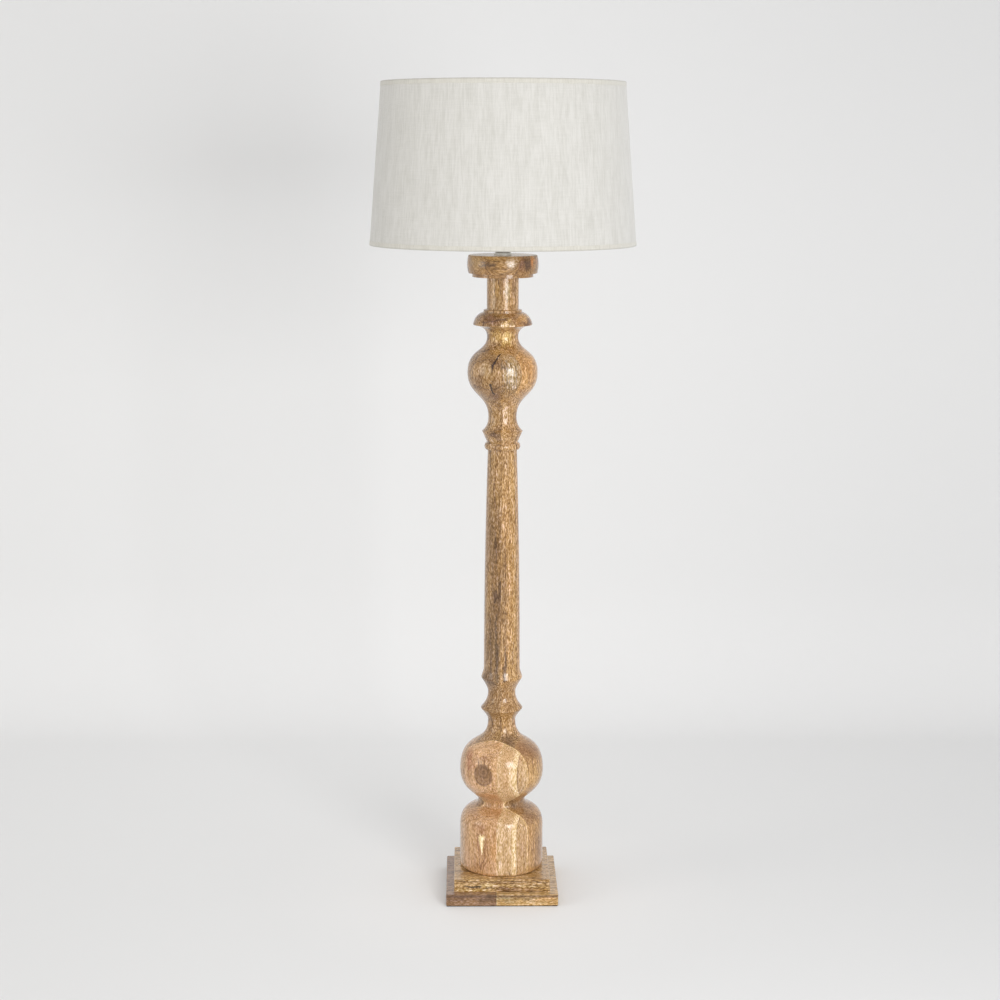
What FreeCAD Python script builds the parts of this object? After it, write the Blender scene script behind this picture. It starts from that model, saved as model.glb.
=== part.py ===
import FreeCAD, Part
import math
import os

# A candlestick floor lamp: two square plinths, a turned and laminated wooden column, an
# E27 lampholder with its bulb, and a tapered linen drum shade on a wire frame.
# Millimetres. The origin is on the floor under the column's axis, Z up, front at -Y.

os.makedirs("parts", exist_ok=True)
V = FreeCAD.Vector
UP = V(0, 0, 1)

# ---------------------------------------------------------------- driving sizes: base
pad_thickness = 2.0
pad_inset = 1.0
lower_plinth_side = 216.5
lower_plinth_thickness = 22.0
lower_plinth_seam = -11.0            # X of the glue line between its two boards
upper_plinth_side = 185.6
upper_plinth_thickness = 24.5
plinth_corner_radius = 3.0
plinth_edge_radius = 1.2

# ---------------------------------------------------------------- driving sizes: column
bell_radius = 81.3
bell_foot_round = 6.0
bell_wall_height = 82.5
bell_shoulder_height = 52.5          # top of the straight wall to the groove's waist
groove_radius = 45.5
ball_radius = 81.3
ball_lower_height = 61.5             # groove waist to ball belly
ball_upper_height = 99.0             # ball belly to the waist of the cove above
low_cove_radius = 26.6
bead_radius = 40.4
low_cove_to_bead = 24.0
bead_to_mid_cove = 32.0
mid_cove_radius = 26.7
mid_cove_to_shaft_bead = 30.0
shaft_bead_radius = 39.8
shaft_bead_to_shaft = 19.0
shaft_foot_radius = 35.1
shaft_middle_radius = 33.1
shaft_top_radius = 27.9
shaft_height = 428.0
collar_radius = 34.2
collar_side_radius = 31.8
collar_height = 12.5
quirk_radius = 29.8
quirk_height = 2.5
flare_radius = 38.8
flare_height = 20.0
flare_to_high_cove = 27.0
high_cove_radius = 26.9
upper_ball_radius = 66.7
upper_ball_lower_height = 85.0       # waist of the cove to the upper ball's belly
upper_ball_upper_height = 68.0       # belly to the throat under the saucer
throat_radius = 29.6
throat_to_saucer = 22.0
saucer_radius = 56.1
saucer_rim_height = 3.5
saucer_dome_height = 20.0
saucer_top_radius = 39.0
fillet_ring_radius = 36.4
fillet_ring_height = 6.5
neck_radius = 30.2
neck_height = 60.0
column_bore_radius = 6.0
tenon_radius = 20.0
tenon_height = 14.0

# the glued-up blank that the column is turned from
blank_turn = -21.0                   # degrees about Z, so its front face looks to the left
blank_half_width = 40.5              # of the square core
core_back_seam = -8.0                # blank Y between the back stave and the front pair
core_front_seam = 9.7                # blank X between the two front staves
block_half_length = 54.0             # front and back blocks, along blank X
front_block_seam = 18.5              # blank X of the glue line in the lower front block

# ---------------------------------------------------------------- driving sizes: cap
cap_step_radius = 57.5
cap_step_height = 7.0
cap_bottom_radius = 65.0
cap_belly_radius = 67.2
cap_top_radius = 65.6
cap_band_height = 31.0
cap_edge_round = 3.0

# ---------------------------------------------------------------- driving sizes: metal
tube_radius = 5.0
tube_bore_radius = 4.0
tube_tail = 14.0                     # below the plinth joint, through washer and nut
washer_radius = 15.0
washer_thickness = 2.0
nut_across_flats = 17.0
nut_thickness = 8.0
nut_recess_radius = 23.0
thread_clearance = 0.05
plinth_screw_radius = 2.2
plinth_screw_head_radius = 4.4
plinth_screw_head_height = 2.8
plinth_screw_length = 38.0
plinth_screw_offset = 70.0
dowel_radius = 5.0
dowel_length = 40.0
dowel_offset_x = 22.0
dowel_offset_y = 20.0
glue_gap = 0.05
inlet_height = 13.0
inlet_bore_radius = 3.5
inlet_barrel_radius = 5.5
inlet_barrel_length = 14.0
inlet_flange_radius = 8.0
inlet_flange_thickness = 2.0

# ---------------------------------------------------------------- driving sizes: lampholder
dome_radius = 16.8
dome_top_radius = 13.0
dome_height = 5.2
dome_wall = 0.9
top_nut_across_flats = 14.0
top_nut_thickness = 3.6
cup_foot_radius = 10.0
cup_radius = 20.0
cup_curve_height = 13.0
cup_height = 26.0
cup_wall = 1.2
boss_radius = 8.0
boss_height = 8.0
sleeve_height = 38.0
sleeve_wall = 2.6
sleeve_mouth_radius = 14.5
sleeve_lip_thickness = 1.6
shoulder_radius = 24.5
shoulder_thickness = 2.4
shoulder_height = 13.0               # top of the shoulder above the cup
insert_radius = 17.1
insert_below_cup_top = 5.0
insert_thickness = 15.0
insert_rim_height = 4.0
socket_radius = 13.45
socket_wall = 0.4
socket_height = 25.0
contact_thickness = 0.5
contact_width = 5.0
contact_rise = 3.0
terminal_width = 6.0
terminal_length = 7.0
terminal_height = 5.0
terminal_offset = 10.5
terminal_screw_radius = 1.4
terminal_screw_head_radius = 2.3
switch_bar_radius = 2.0
switch_bar_reach = 25.0              # each side of the axis, when half way
switch_travel = 5.0
switch_bar_height = 13.5             # above the foot of the cup
switch_guide_clearance = 0.3
switch_housing_length = 12.0
switch_housing_width = 8.0
switch_housing_drop = 4.0
shade_ring_radius = 27.0
shade_ring_height = 7.0
shade_ring_grips = 24
shade_ring_grip_radius = 1.2
running_gap = 0.3

# ---------------------------------------------------------------- driving sizes: bulb
bulb_contact_radius = 4.6
bulb_contact_height = 1.6
bulb_insulator_radius = 9.6
bulb_insulator_height = 3.2
bulb_cap_radius = 13.05
bulb_cap_height = 21.0
bulb_cap_wall = 0.5
bulb_thread_pitch = 3.63
bulb_thread_depth = 0.9
bulb_collar_radius = 28.6
bulb_collar_height = 33.0
bulb_collar_wall = 1.6
bulb_globe_radius = 30.0
bulb_globe_height = 51.0
bulb_globe_wall = 1.2

# ---------------------------------------------------------------- driving sizes: shade
shade_bottom_radius = 249.4
shade_top_radius = 226.3
shade_height = 300.0
spider_drop = 26.5                   # fitter ring above the shade's lower edge
linen_thickness = 0.5
lining_thickness = 0.6
wire_radius = 1.6
wire_inset = 2.6                     # wire's centre from the rim's edge
hem_thickness = 0.5
hem_width = 9.0
hem_clearance = 0.1
spoke_count = 3
spoke_radius = 2.0
spoke_first_angle = 90.0
fitter_radius = 26.0
fitter_bore_radius = 20.3
fitter_thickness = 2.0

# ---------------------------------------------------------------- heights along the axis
plinth_joint = pad_thickness + lower_plinth_thickness
foot = plinth_joint + upper_plinth_thickness
bell_shoulder = foot + bell_wall_height
groove = bell_shoulder + bell_shoulder_height
ball = groove + ball_lower_height
low_cove = ball + ball_upper_height
bead = low_cove + low_cove_to_bead
mid_cove = bead + bead_to_mid_cove
shaft_bead = mid_cove + mid_cove_to_shaft_bead
shaft_foot = shaft_bead + shaft_bead_to_shaft
shaft_top = shaft_foot + shaft_height
collar_top = shaft_top + collar_height
quirk_top = collar_top + quirk_height
flare = quirk_top + flare_height
high_cove = flare + flare_to_high_cove
upper_ball = high_cove + upper_ball_lower_height
throat = upper_ball + upper_ball_upper_height
saucer = throat + throat_to_saucer
saucer_top = saucer + saucer_rim_height + saucer_dome_height
neck_foot = saucer_top + fillet_ring_height
cap_foot = neck_foot + neck_height
tenon_top = cap_foot + tenon_height
cap_top = cap_foot + cap_step_height + cap_band_height + cap_edge_round
cup_foot = cap_top + dome_height
cup_top = cup_foot + cup_height
shoulder_top = cup_top + shoulder_height
sleeve_top = cup_top + sleeve_height
fitter_foot = shoulder_top + running_gap
shade_ring_foot = fitter_foot + fitter_thickness + running_gap
insert_foot = cup_top - insert_below_cup_top
insert_top = insert_foot + insert_thickness
bulb_foot = insert_top + contact_rise + running_gap
bulb_cap_foot = bulb_foot + bulb_contact_height + bulb_insulator_height
bulb_cap_top = bulb_cap_foot + bulb_cap_height
bulb_collar_top = bulb_cap_top + bulb_collar_height
switch_bar_z = cup_foot + switch_bar_height
shade_bottom_height = fitter_foot - spider_drop
shade_top_height = shade_bottom_height + shade_height


# ---------------------------------------------------------------- outline and solid helpers
def at(point):
    """A (radius, height) pair as a point on the plane the outlines are drawn in."""
    return V(point[0], 0, point[1])


def straight(*points):
    return [Part.makeLine(at(a), at(b)) for a, b in zip(points, points[1:])]


def arc(start, through, end):
    return [Part.Arc(at(start), at(through), at(end)).toShape()]


def swell(low, high, low_reach, high_reach):
    """A curve that leaves low and reaches high upright, as between a cove and a ball."""
    curve = Part.BezierCurve()
    low_pole = (low[0], low[1] + low_reach)
    high_pole = (high[0], high[1] - high_reach)
    curve.setPoles([at(low), at(low_pole), at(high_pole), at(high)])
    return [curve.toShape()]


def turned(edges):
    """The solid that a closed outline sweeps about the axis."""
    face = Part.Face(Part.Wire(edges))
    return face.revolve(V(0, 0, 0), UP, 360)


def sleeve(outer_radius, inner_radius, low, high):
    return turned(straight((inner_radius, low), (outer_radius, low), (outer_radius, high),
                           (inner_radius, high), (inner_radius, low)))


def rod(radius, length, base, direction=UP):
    return Part.makeCylinder(radius, length, base, direction)


def box(low, high):
    size = [b - a for a, b in zip(low, high)]
    return Part.makeBox(size[0], size[1], size[2], V(*low))


def hexagon(across_flats, thickness, height):
    corner = across_flats / 2 / math.cos(math.radians(30))
    points = [V(corner * math.cos(math.radians(a)), corner * math.sin(math.radians(a)), height)
              for a in range(0, 420, 60)]
    return Part.Face(Part.makePolygon(points)).extrude(V(0, 0, thickness))


def around(shape, count, first=0.0):
    """Copies of a shape at even steps about the axis."""
    copies = []
    for index in range(count):
        copy = shape.copy()
        copy.rotate(V(0, 0, 0), UP, first + index * 360.0 / count)
        copies.append(copy)
    return copies


def save(name, shape):
    solids = shape.Solids
    result = solids[0] if len(solids) == 1 else Part.Compound(solids)
    result.exportStep(f"parts/{name}.step")


# ---------------------------------------------------------------- base
def square_board(side, low, high):
    """A square board with eased vertical corners and eased upper edges."""
    half = side / 2
    board = box((-half, -half, low), (half, half, high))
    corners = [e for e in board.Edges if abs(e.tangentAt(0).z) > 0.9]
    board = board.makeFillet(plinth_corner_radius, corners)
    rim = [e for e in board.Edges if abs(e.BoundBox.ZMin - high) < 1e-6]
    return board.makeFillet(plinth_edge_radius, rim)


def screw_places():
    signs = ((1, 1), (-1, 1), (-1, -1), (1, -1))
    return [(sx * plinth_screw_offset, sy * plinth_screw_offset) for sx, sy in signs]


def plinth_screw(x, y, extra):
    """One countersunk wood screw from below, or the hole for it when extra is a clearance."""
    radius = plinth_screw_radius + extra
    head = Part.makeCone(plinth_screw_head_radius + extra, radius, plinth_screw_head_height,
                         V(x, y, pad_thickness))
    shank = rod(radius, plinth_screw_length + extra, V(x, y, pad_thickness))
    return head.fuse(shank).removeSplitter()


def dowel_places():
    return [(-dowel_offset_x, dowel_offset_y), (dowel_offset_x, dowel_offset_y)]


def dowel(x, y, extra):
    """A dowel across the joint of plinth and column, or its hole with a glue gap."""
    half = dowel_length / 2 + extra
    peg = rod(dowel_radius + extra, 2 * half, V(x, y, foot - half))
    peg.rotate(V(0, 0, 0), UP, blank_turn)
    return peg


def inlet_hole():
    back = lower_plinth_side / 2
    return rod(inlet_barrel_radius + thread_clearance, back, V(0, 0, inlet_height), V(0, 1, 0))


def make_base():
    half = lower_plinth_side / 2
    pad_half = half - pad_inset
    save("floor_pad", box((-pad_half, -pad_half, 0), (pad_half, pad_half, pad_thickness)))

    lower = square_board(lower_plinth_side, pad_thickness, plinth_joint)
    lower = lower.cut(rod(nut_recess_radius, lower_plinth_thickness, V(0, 0, pad_thickness)))
    lower = lower.cut(inlet_hole())
    upper = square_board(upper_plinth_side, plinth_joint, foot)
    upper = upper.cut(rod(column_bore_radius, upper_plinth_thickness, V(0, 0, plinth_joint)))
    for x, y in screw_places():
        hole = plinth_screw(x, y, thread_clearance)
        lower = lower.cut(hole)
        upper = upper.cut(hole)
    for x, y in dowel_places():
        upper = upper.cut(dowel(x, y, glue_gap))
    left_side = box((-half, -half, 0), (lower_plinth_seam, half, foot))
    save("lower_plinth_left_board", lower.common(left_side))
    save("lower_plinth_right_board", lower.cut(left_side))
    save("upper_plinth", upper)

    screws = [plinth_screw(x, y, 0) for x, y in screw_places()]
    save("plinth_screws", Part.Compound(screws))
    save("column_dowels", Part.Compound([dowel(x, y, 0) for x, y in dowel_places()]))

    barrel_start = half - inlet_barrel_length
    barrel = rod(inlet_barrel_radius, inlet_barrel_length, V(0, barrel_start, inlet_height),
                 V(0, 1, 0))
    flange = rod(inlet_flange_radius, inlet_flange_thickness, V(0, half, inlet_height),
                 V(0, 1, 0))
    bore = rod(inlet_bore_radius, inlet_barrel_length + inlet_flange_thickness,
               V(0, barrel_start, inlet_height), V(0, 1, 0))
    save("cord_inlet_bush", barrel.fuse(flange).removeSplitter().cut(bore))


# ---------------------------------------------------------------- column
def column_outline():
    """The turner's template, from the plinth up to the tenon in the cap."""
    edges = []
    foot_start = (bell_radius - bell_foot_round, foot)
    foot_end = (bell_radius, foot + bell_foot_round)
    slack = bell_foot_round * (1 - math.sqrt(0.5))
    edges += straight((column_bore_radius, foot), foot_start)
    edges += arc(foot_start, (bell_radius - slack, foot + slack), foot_end)
    edges += straight(foot_end, (bell_radius, bell_shoulder))
    # bell shoulder, groove, ball and cove
    edges += swell((bell_radius, bell_shoulder), (groove_radius, groove), 46.0, 19.0)
    edges += swell((groove_radius, groove), (ball_radius, ball), 13.5, 42.0)
    edges += swell((ball_radius, ball), (low_cove_radius, low_cove), 73.5, 54.0)
    # bead, cove, bead under the shaft
    edges += swell((low_cove_radius, low_cove), (bead_radius, bead), 10.0, 3.0)
    edges += swell((bead_radius, bead), (mid_cove_radius, mid_cove), 3.0, 20.0)
    edges += swell((mid_cove_radius, mid_cove), (shaft_bead_radius, shaft_bead), 12.0, 4.0)
    edges += swell((shaft_bead_radius, shaft_bead), (shaft_foot_radius, shaft_foot), 3.0, 7.0)
    # the shaft tapers with a slight belly
    middle = (shaft_foot + shaft_top) / 2
    edges += arc((shaft_foot_radius, shaft_foot), (shaft_middle_radius, middle),
                 (shaft_top_radius, shaft_top))
    # collar, quirk and flare
    collar_low = (collar_side_radius, shaft_top)
    collar_high = (collar_side_radius, collar_top)
    edges += straight((shaft_top_radius, shaft_top), collar_low)
    edges += arc(collar_low, (collar_radius, (shaft_top + collar_top) / 2), collar_high)
    edges += straight(collar_high, (quirk_radius, collar_top), (quirk_radius, quirk_top),
                      (flare_radius, flare))
    edges += swell((flare_radius, flare), (high_cove_radius, high_cove), 1.0, 20.0)
    # upper ball and throat
    edges += swell((high_cove_radius, high_cove), (upper_ball_radius, upper_ball), 43.0, 45.0)
    edges += swell((upper_ball_radius, upper_ball), (throat_radius, throat), 45.0, 30.0)
    # saucer with its thin rim and domed top
    rim_low = (saucer_radius - 0.6, saucer)
    rim_high = (saucer_radius - 0.6, saucer + saucer_rim_height)
    dome_end = (saucer_top_radius, saucer_top)
    dome_through = (saucer_radius - 5.0, saucer_top - saucer_dome_height / 2)
    edges += swell((throat_radius, throat), rim_low, 20.5, 0.6)
    edges += arc(rim_low, (saucer_radius, saucer + saucer_rim_height / 2), rim_high)
    edges += arc(rim_high, dome_through, dome_end)
    # fillet ring, neck and tenon
    ring_high = saucer_top + fillet_ring_height * 0.7
    edges += straight(dome_end, (fillet_ring_radius, saucer_top), (fillet_ring_radius, ring_high))
    edges += swell((fillet_ring_radius, ring_high), (neck_radius, neck_foot), 0.6, 0.6)
    edges += straight((neck_radius, neck_foot), (neck_radius, cap_foot), (tenon_radius, cap_foot),
                      (tenon_radius, tenon_top), (column_bore_radius, tenon_top),
                      (column_bore_radius, foot))
    return edges


def blank(x_low, x_high, y_low, y_high, low, high):
    """A straight-sided piece of the glued blank, before it was turned round."""
    piece = box((x_low, y_low, low), (x_high, y_high, high))
    piece.rotate(V(0, 0, 0), UP, blank_turn)
    return piece


def make_column():
    column = turned(column_outline())
    for x, y in dowel_places():
        column = column.cut(dowel(x, y, glue_gap))
    core = blank_half_width
    outside = bell_radius + ball_radius
    low, high = foot, tenon_top

    staves = {
        "core_back_stave": (-core, core, core_back_seam, core),
        "core_front_left_stave": (-core, core_front_seam, -core, core_back_seam),
        "core_front_right_stave": (core_front_seam, core, -core, core_back_seam),
    }
    for name, (x_low, x_high, y_low, y_high) in staves.items():
        save(name, column.common(blank(x_low, x_high, y_low, y_high, low, high)))

    lower = column.common(blank(-outside, outside, -outside, outside, foot, low_cove))
    end = block_half_length
    blocks = {
        "lower_front_left_block": (-end, front_block_seam, -outside, -core),
        "lower_front_right_block": (front_block_seam, end, -outside, -core),
        "lower_back_block": (-end, end, core, outside),
        "lower_left_block": (-outside, -core, -core, core),
        "lower_right_block": (core, outside, -core, core),
        "front_left_corner_strip": (-outside, -end, -outside, -core),
        "front_right_corner_strip": (end, outside, -outside, -core),
        "back_left_corner_strip": (-outside, -end, core, outside),
        "back_right_corner_strip": (end, outside, core, outside),
    }
    for name, (x_low, x_high, y_low, y_high) in blocks.items():
        save(name, lower.common(blank(x_low, x_high, y_low, y_high, foot, low_cove)))

    upper = column.common(blank(-outside, outside, -outside, outside, high_cove, neck_foot))
    blocks = {
        "upper_front_block": (-outside, outside, -outside, -core),
        "upper_back_block": (-outside, outside, core, outside),
        "upper_left_block": (-outside, -core, -core, core),
        "upper_right_block": (core, outside, -core, core),
    }
    for name, (x_low, x_high, y_low, y_high) in blocks.items():
        save(name, upper.common(blank(x_low, x_high, y_low, y_high, high_cove, neck_foot)))


def make_cap():
    """The turned disc on the neck, with a step under its band and a socket for the tenon."""
    band_foot = cap_foot + cap_step_height
    band_top = band_foot + cap_band_height
    socket_radius_in_cap = tenon_radius + glue_gap
    edge = cap_edge_round * (1 - math.sqrt(0.5))
    edges = straight((socket_radius_in_cap, cap_foot), (cap_step_radius, cap_foot),
                     (cap_step_radius, band_foot), (cap_bottom_radius, band_foot))
    edges += arc((cap_bottom_radius, band_foot), (cap_belly_radius, (band_foot + band_top) / 2),
                 (cap_top_radius, band_top))
    edges += arc((cap_top_radius, band_top), (cap_top_radius - edge, cap_top - edge),
                 (cap_top_radius - cap_edge_round, cap_top))
    edges += straight((cap_top_radius - cap_edge_round, cap_top), (column_bore_radius, cap_top),
                      (column_bore_radius, tenon_top + glue_gap),
                      (socket_radius_in_cap, tenon_top + glue_gap),
                      (socket_radius_in_cap, cap_foot))
    save("cap_disc", turned(edges))


def make_tie_rod():
    """The hollow threaded tube that pulls plinths, column and cap together, with its nuts."""
    low = plinth_joint - tube_tail
    save("centre_tube", sleeve(tube_radius, tube_bore_radius, low, cup_foot + boss_height))
    hole_radius = tube_radius + thread_clearance
    washer_foot = plinth_joint - washer_thickness
    save("lower_washer", sleeve(washer_radius, hole_radius, washer_foot, plinth_joint))
    nut_foot = washer_foot - nut_thickness
    lower_nut = hexagon(nut_across_flats, nut_thickness, nut_foot)
    save("lower_nut", lower_nut.cut(rod(hole_radius, nut_thickness, V(0, 0, nut_foot))))
    top_nut = hexagon(top_nut_across_flats, top_nut_thickness, cap_top)
    save("top_nut", top_nut.cut(rod(hole_radius, top_nut_thickness, V(0, 0, cap_top))))


# ---------------------------------------------------------------- lampholder
def make_lampholder():
    hole_radius = tube_radius + thread_clearance
    # domed cover plate over the top nut
    side_top = cap_top + 1.0
    outer_through = (dome_radius - 1.1, cap_top + dome_height * 0.62)
    inner_through = (outer_through[0] - dome_wall, outer_through[1] - dome_wall)
    edges = straight((dome_radius - dome_wall, cap_top), (dome_radius, cap_top),
                     (dome_radius, side_top))
    edges += arc((dome_radius, side_top), outer_through, (dome_top_radius, cup_foot))
    edges += straight((dome_top_radius, cup_foot), (hole_radius, cup_foot),
                      (hole_radius, cup_foot - dome_wall),
                      (dome_top_radius, cup_foot - dome_wall))
    edges += arc((dome_top_radius, cup_foot - dome_wall), inner_through,
                 (dome_radius - dome_wall, cap_top))
    save("dome_plate", turned(edges))

    # cup, with its threaded boss on the tube
    curve_top = cup_foot + cup_curve_height
    inner_radius = cup_radius - cup_wall
    through = (cup_radius - 2.6, cup_foot + cup_curve_height * 0.38)
    edges = straight((hole_radius, cup_foot), (cup_foot_radius, cup_foot))
    edges += arc((cup_foot_radius, cup_foot), through, (cup_radius, curve_top))
    edges += straight((cup_radius, curve_top), (cup_radius, cup_top), (inner_radius, cup_top),
                      (inner_radius, curve_top))
    edges += arc((inner_radius, curve_top), (through[0] - cup_wall, through[1] + cup_wall * 0.5),
                 (cup_foot_radius, cup_foot + cup_wall))
    edges += straight((cup_foot_radius, cup_foot + cup_wall), (boss_radius, cup_foot + cup_wall),
                      (boss_radius, cup_foot + boss_height), (hole_radius, cup_foot + boss_height),
                      (hole_radius, cup_foot))
    cup = turned(edges)
    guide_radius = switch_bar_radius + switch_guide_clearance
    guide = rod(guide_radius, 4 * cup_radius, V(-2 * cup_radius, 0, switch_bar_z), V(1, 0, 0))
    save("holder_cup", cup.cut(guide))

    # sleeve with the shoulder that carries the shade
    inner_radius = cup_radius - sleeve_wall
    shoulder_foot = shoulder_top - shoulder_thickness
    save("holder_sleeve", turned(straight(
        (inner_radius, cup_top), (cup_radius, cup_top), (cup_radius, shoulder_foot),
        (shoulder_radius, shoulder_foot), (shoulder_radius, shoulder_top),
        (cup_radius, shoulder_top), (cup_radius, sleeve_top), (sleeve_mouth_radius, sleeve_top),
        (sleeve_mouth_radius, sleeve_top - sleeve_lip_thickness),
        (inner_radius, sleeve_top - sleeve_lip_thickness), (inner_radius, cup_top))))

    # ceramic insert with its rim round the socket shell
    shell_outer = socket_radius + socket_wall
    insert = turned(straight((0, insert_foot), (insert_radius, insert_foot),
                             (insert_radius, insert_top + insert_rim_height),
                             (shell_outer + thread_clearance, insert_top + insert_rim_height),
                             (shell_outer + thread_clearance, insert_top),
                             (0, insert_top), (0, insert_foot)))
    for angle in (90, 270):
        insert = insert.cut(terminal_screw(angle, thread_clearance))
    save("holder_insert", insert)
    shell_foot = insert_top + contact_thickness
    save("socket_shell", sleeve(shell_outer, socket_radius, shell_foot,
                                shell_foot + socket_height))

    half_width = contact_width / 2
    tab_end = 0.5 - shell_outer
    tab = box((tab_end, -half_width, insert_top), (tab_end + 4.5, half_width, shell_foot))
    save("shell_contact", tab)
    spring = [V(10, 0, 0), V(10, 0, contact_thickness), V(4, 0, contact_thickness),
              V(0, 0, contact_rise), V(-3, 0, contact_rise - contact_thickness),
              V(-0.4, 0, contact_rise - contact_thickness), V(3.4, 0, 0), V(10, 0, 0)]
    blade = Part.Face(Part.makePolygon(spring)).extrude(V(0, contact_width, 0))
    blade.translate(V(0, -half_width, insert_top))
    save("centre_contact", blade)

    blocks = []
    screws = []
    for angle in (90, 270):
        blocks.append(terminal_block().cut(terminal_screw(90, thread_clearance)))
        blocks[-1].rotate(V(0, 0, 0), UP, angle - 90)
        screws.append(terminal_screw(angle, 0))
    save("terminal_blocks", Part.Compound(blocks))
    save("terminal_screws", Part.Compound(screws))

    half_length = switch_housing_length / 2
    half_width = switch_housing_width / 2
    housing = box((-half_length, -half_width, switch_bar_z - switch_housing_drop),
                  (half_length, half_width, insert_foot))
    tunnel = rod(guide_radius, switch_housing_length, V(-half_length, 0, switch_bar_z),
                 V(1, 0, 0))
    save("switch_housing", housing.cut(tunnel))

    # the push-through bar is drawn pushed fully to -X
    bar_length = 2 * switch_bar_reach
    bar = rod(switch_bar_radius, bar_length,
              V(-switch_bar_reach - switch_travel / 2, 0, switch_bar_z), V(1, 0, 0))
    save("switch_bar", bar.makeFillet(switch_bar_radius * 0.6, bar.Edges[0:1] + bar.Edges[2:3]))

    grip = rod(shade_ring_grip_radius, shade_ring_height,
               V(shade_ring_radius + 0.35, 0, shade_ring_foot))
    ring = sleeve(shade_ring_radius, cup_radius + running_gap, shade_ring_foot,
                  shade_ring_foot + shade_ring_height)
    save("shade_ring", ring.cut(around(grip, shade_ring_grips)))


def terminal_block():
    half_width = terminal_width / 2
    half_length = terminal_length / 2
    return box((-half_width, terminal_offset - half_length, insert_foot - terminal_height),
               (half_width, terminal_offset + half_length, insert_foot))


def terminal_screw(angle, extra):
    """A screw up through a terminal block into the insert, or its hole."""
    low = insert_foot - terminal_height
    shank = rod(terminal_screw_radius + extra, terminal_height + 2 + extra,
                V(0, terminal_offset, low))
    head = rod(terminal_screw_head_radius, 1.4, V(0, terminal_offset, low - 1.4))
    screw = shank.fuse(head).removeSplitter()
    screw.rotate(V(0, 0, 0), UP, angle - 90)
    return screw


# ---------------------------------------------------------------- bulb
def make_bulb():
    contact_top = bulb_foot + bulb_contact_height
    save("bulb_contact", turned(straight((0, bulb_foot), (bulb_contact_radius - 1.2, bulb_foot),
                                         (bulb_contact_radius, contact_top), (0, contact_top),
                                         (0, bulb_foot))))
    save("bulb_insulator", turned(straight(
        (0, contact_top), (bulb_contact_radius + 0.3, contact_top),
        (bulb_insulator_radius, bulb_cap_foot), (0, bulb_cap_foot), (0, contact_top))))

    # cap with three rounded thread crests
    crest = bulb_cap_radius
    root = bulb_cap_radius - bulb_thread_depth
    thread_foot = bulb_cap_foot + 3.0
    edges = straight((bulb_insulator_radius - 2, bulb_cap_foot),
                     (bulb_insulator_radius, bulb_cap_foot), (root, thread_foot))
    for turn in range(4):
        low = thread_foot + turn * bulb_thread_pitch
        edges += arc((root, low), (crest, low + bulb_thread_pitch / 2),
                     (root, low + bulb_thread_pitch))
    thread_top = thread_foot + 4 * bulb_thread_pitch
    edges += straight((root, thread_top), (bulb_cap_radius, bulb_cap_top),
                      (bulb_cap_radius - bulb_cap_wall, bulb_cap_top),
                      (root - bulb_cap_wall, thread_top), (root - bulb_cap_wall, thread_foot),
                      (bulb_insulator_radius - 2, bulb_cap_foot))
    save("bulb_cap", turned(edges))

    # plastic collar from the cap out to the globe
    low = (bulb_cap_radius + 1.4, bulb_cap_top)
    high = (bulb_collar_radius, bulb_collar_top)
    through = ((low[0] + high[0]) / 2 + 0.8, (low[1] + high[1]) / 2 - 2.0)
    wall = bulb_collar_wall
    edges = straight((low[0] - 3.0, bulb_cap_top), low)
    edges += arc(low, through, high)
    edges += straight(high, (high[0] - wall, high[1]))
    edges += arc((high[0] - wall, high[1]), (through[0] - wall, through[1] + 1.0),
                 (low[0] - 3.0, low[1] + 2.0))
    edges += straight((low[0] - 3.0, low[1] + 2.0), (low[0] - 3.0, bulb_cap_top))
    save("bulb_collar", turned(edges))

    # opal globe
    belly = bulb_collar_top + bulb_globe_height - bulb_globe_radius
    top = bulb_collar_top + bulb_globe_height
    sine = math.sqrt(0.5)
    wall = bulb_globe_wall
    inner = bulb_globe_radius - wall
    edges = swell((bulb_collar_radius, bulb_collar_top), (bulb_globe_radius, belly), 6.0, 9.0)
    edges += arc((bulb_globe_radius, belly),
                 (bulb_globe_radius * sine, belly + bulb_globe_radius * sine), (0, top))
    edges += straight((0, top), (0, top - wall))
    edges += arc((0, top - wall), (inner * sine, belly + inner * sine), (inner, belly))
    edges += swell((bulb_collar_radius - wall, bulb_collar_top), (inner, belly), 6.0, 9.0)
    edges += straight((bulb_collar_radius - wall, bulb_collar_top),
                      (bulb_collar_radius, bulb_collar_top))
    save("bulb_globe", turned(edges))


# ---------------------------------------------------------------- shade
def cone_radius(height):
    """Outer radius of the linen at a height."""
    share = (height - shade_bottom_height) / shade_height
    return shade_bottom_radius + (shade_top_radius - shade_bottom_radius) * share


def cone_wall(depth, thickness, low, high):
    """A tapered wall whose outer face lies depth inside the linen's outer face."""
    return turned(straight((cone_radius(low) - depth - thickness, low),
                           (cone_radius(low) - depth, low), (cone_radius(high) - depth, high),
                           (cone_radius(high) - depth - thickness, high),
                           (cone_radius(low) - depth - thickness, low)))


def wire_place(rim, inward):
    """Centre (radius, height) of a rim's wire; inward is +1 at the bottom rim, -1 at the top."""
    height = rim + inward * wire_inset
    radius = min(cone_radius(height - wire_radius), cone_radius(height + wire_radius))
    wall = linen_thickness + lining_thickness
    return (radius - wall - wire_radius - hem_clearance, height)


def wire_ring(rim, inward):
    radius, height = wire_place(rim, inward)
    return Part.makeTorus(radius, wire_radius, V(0, 0, height))


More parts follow.
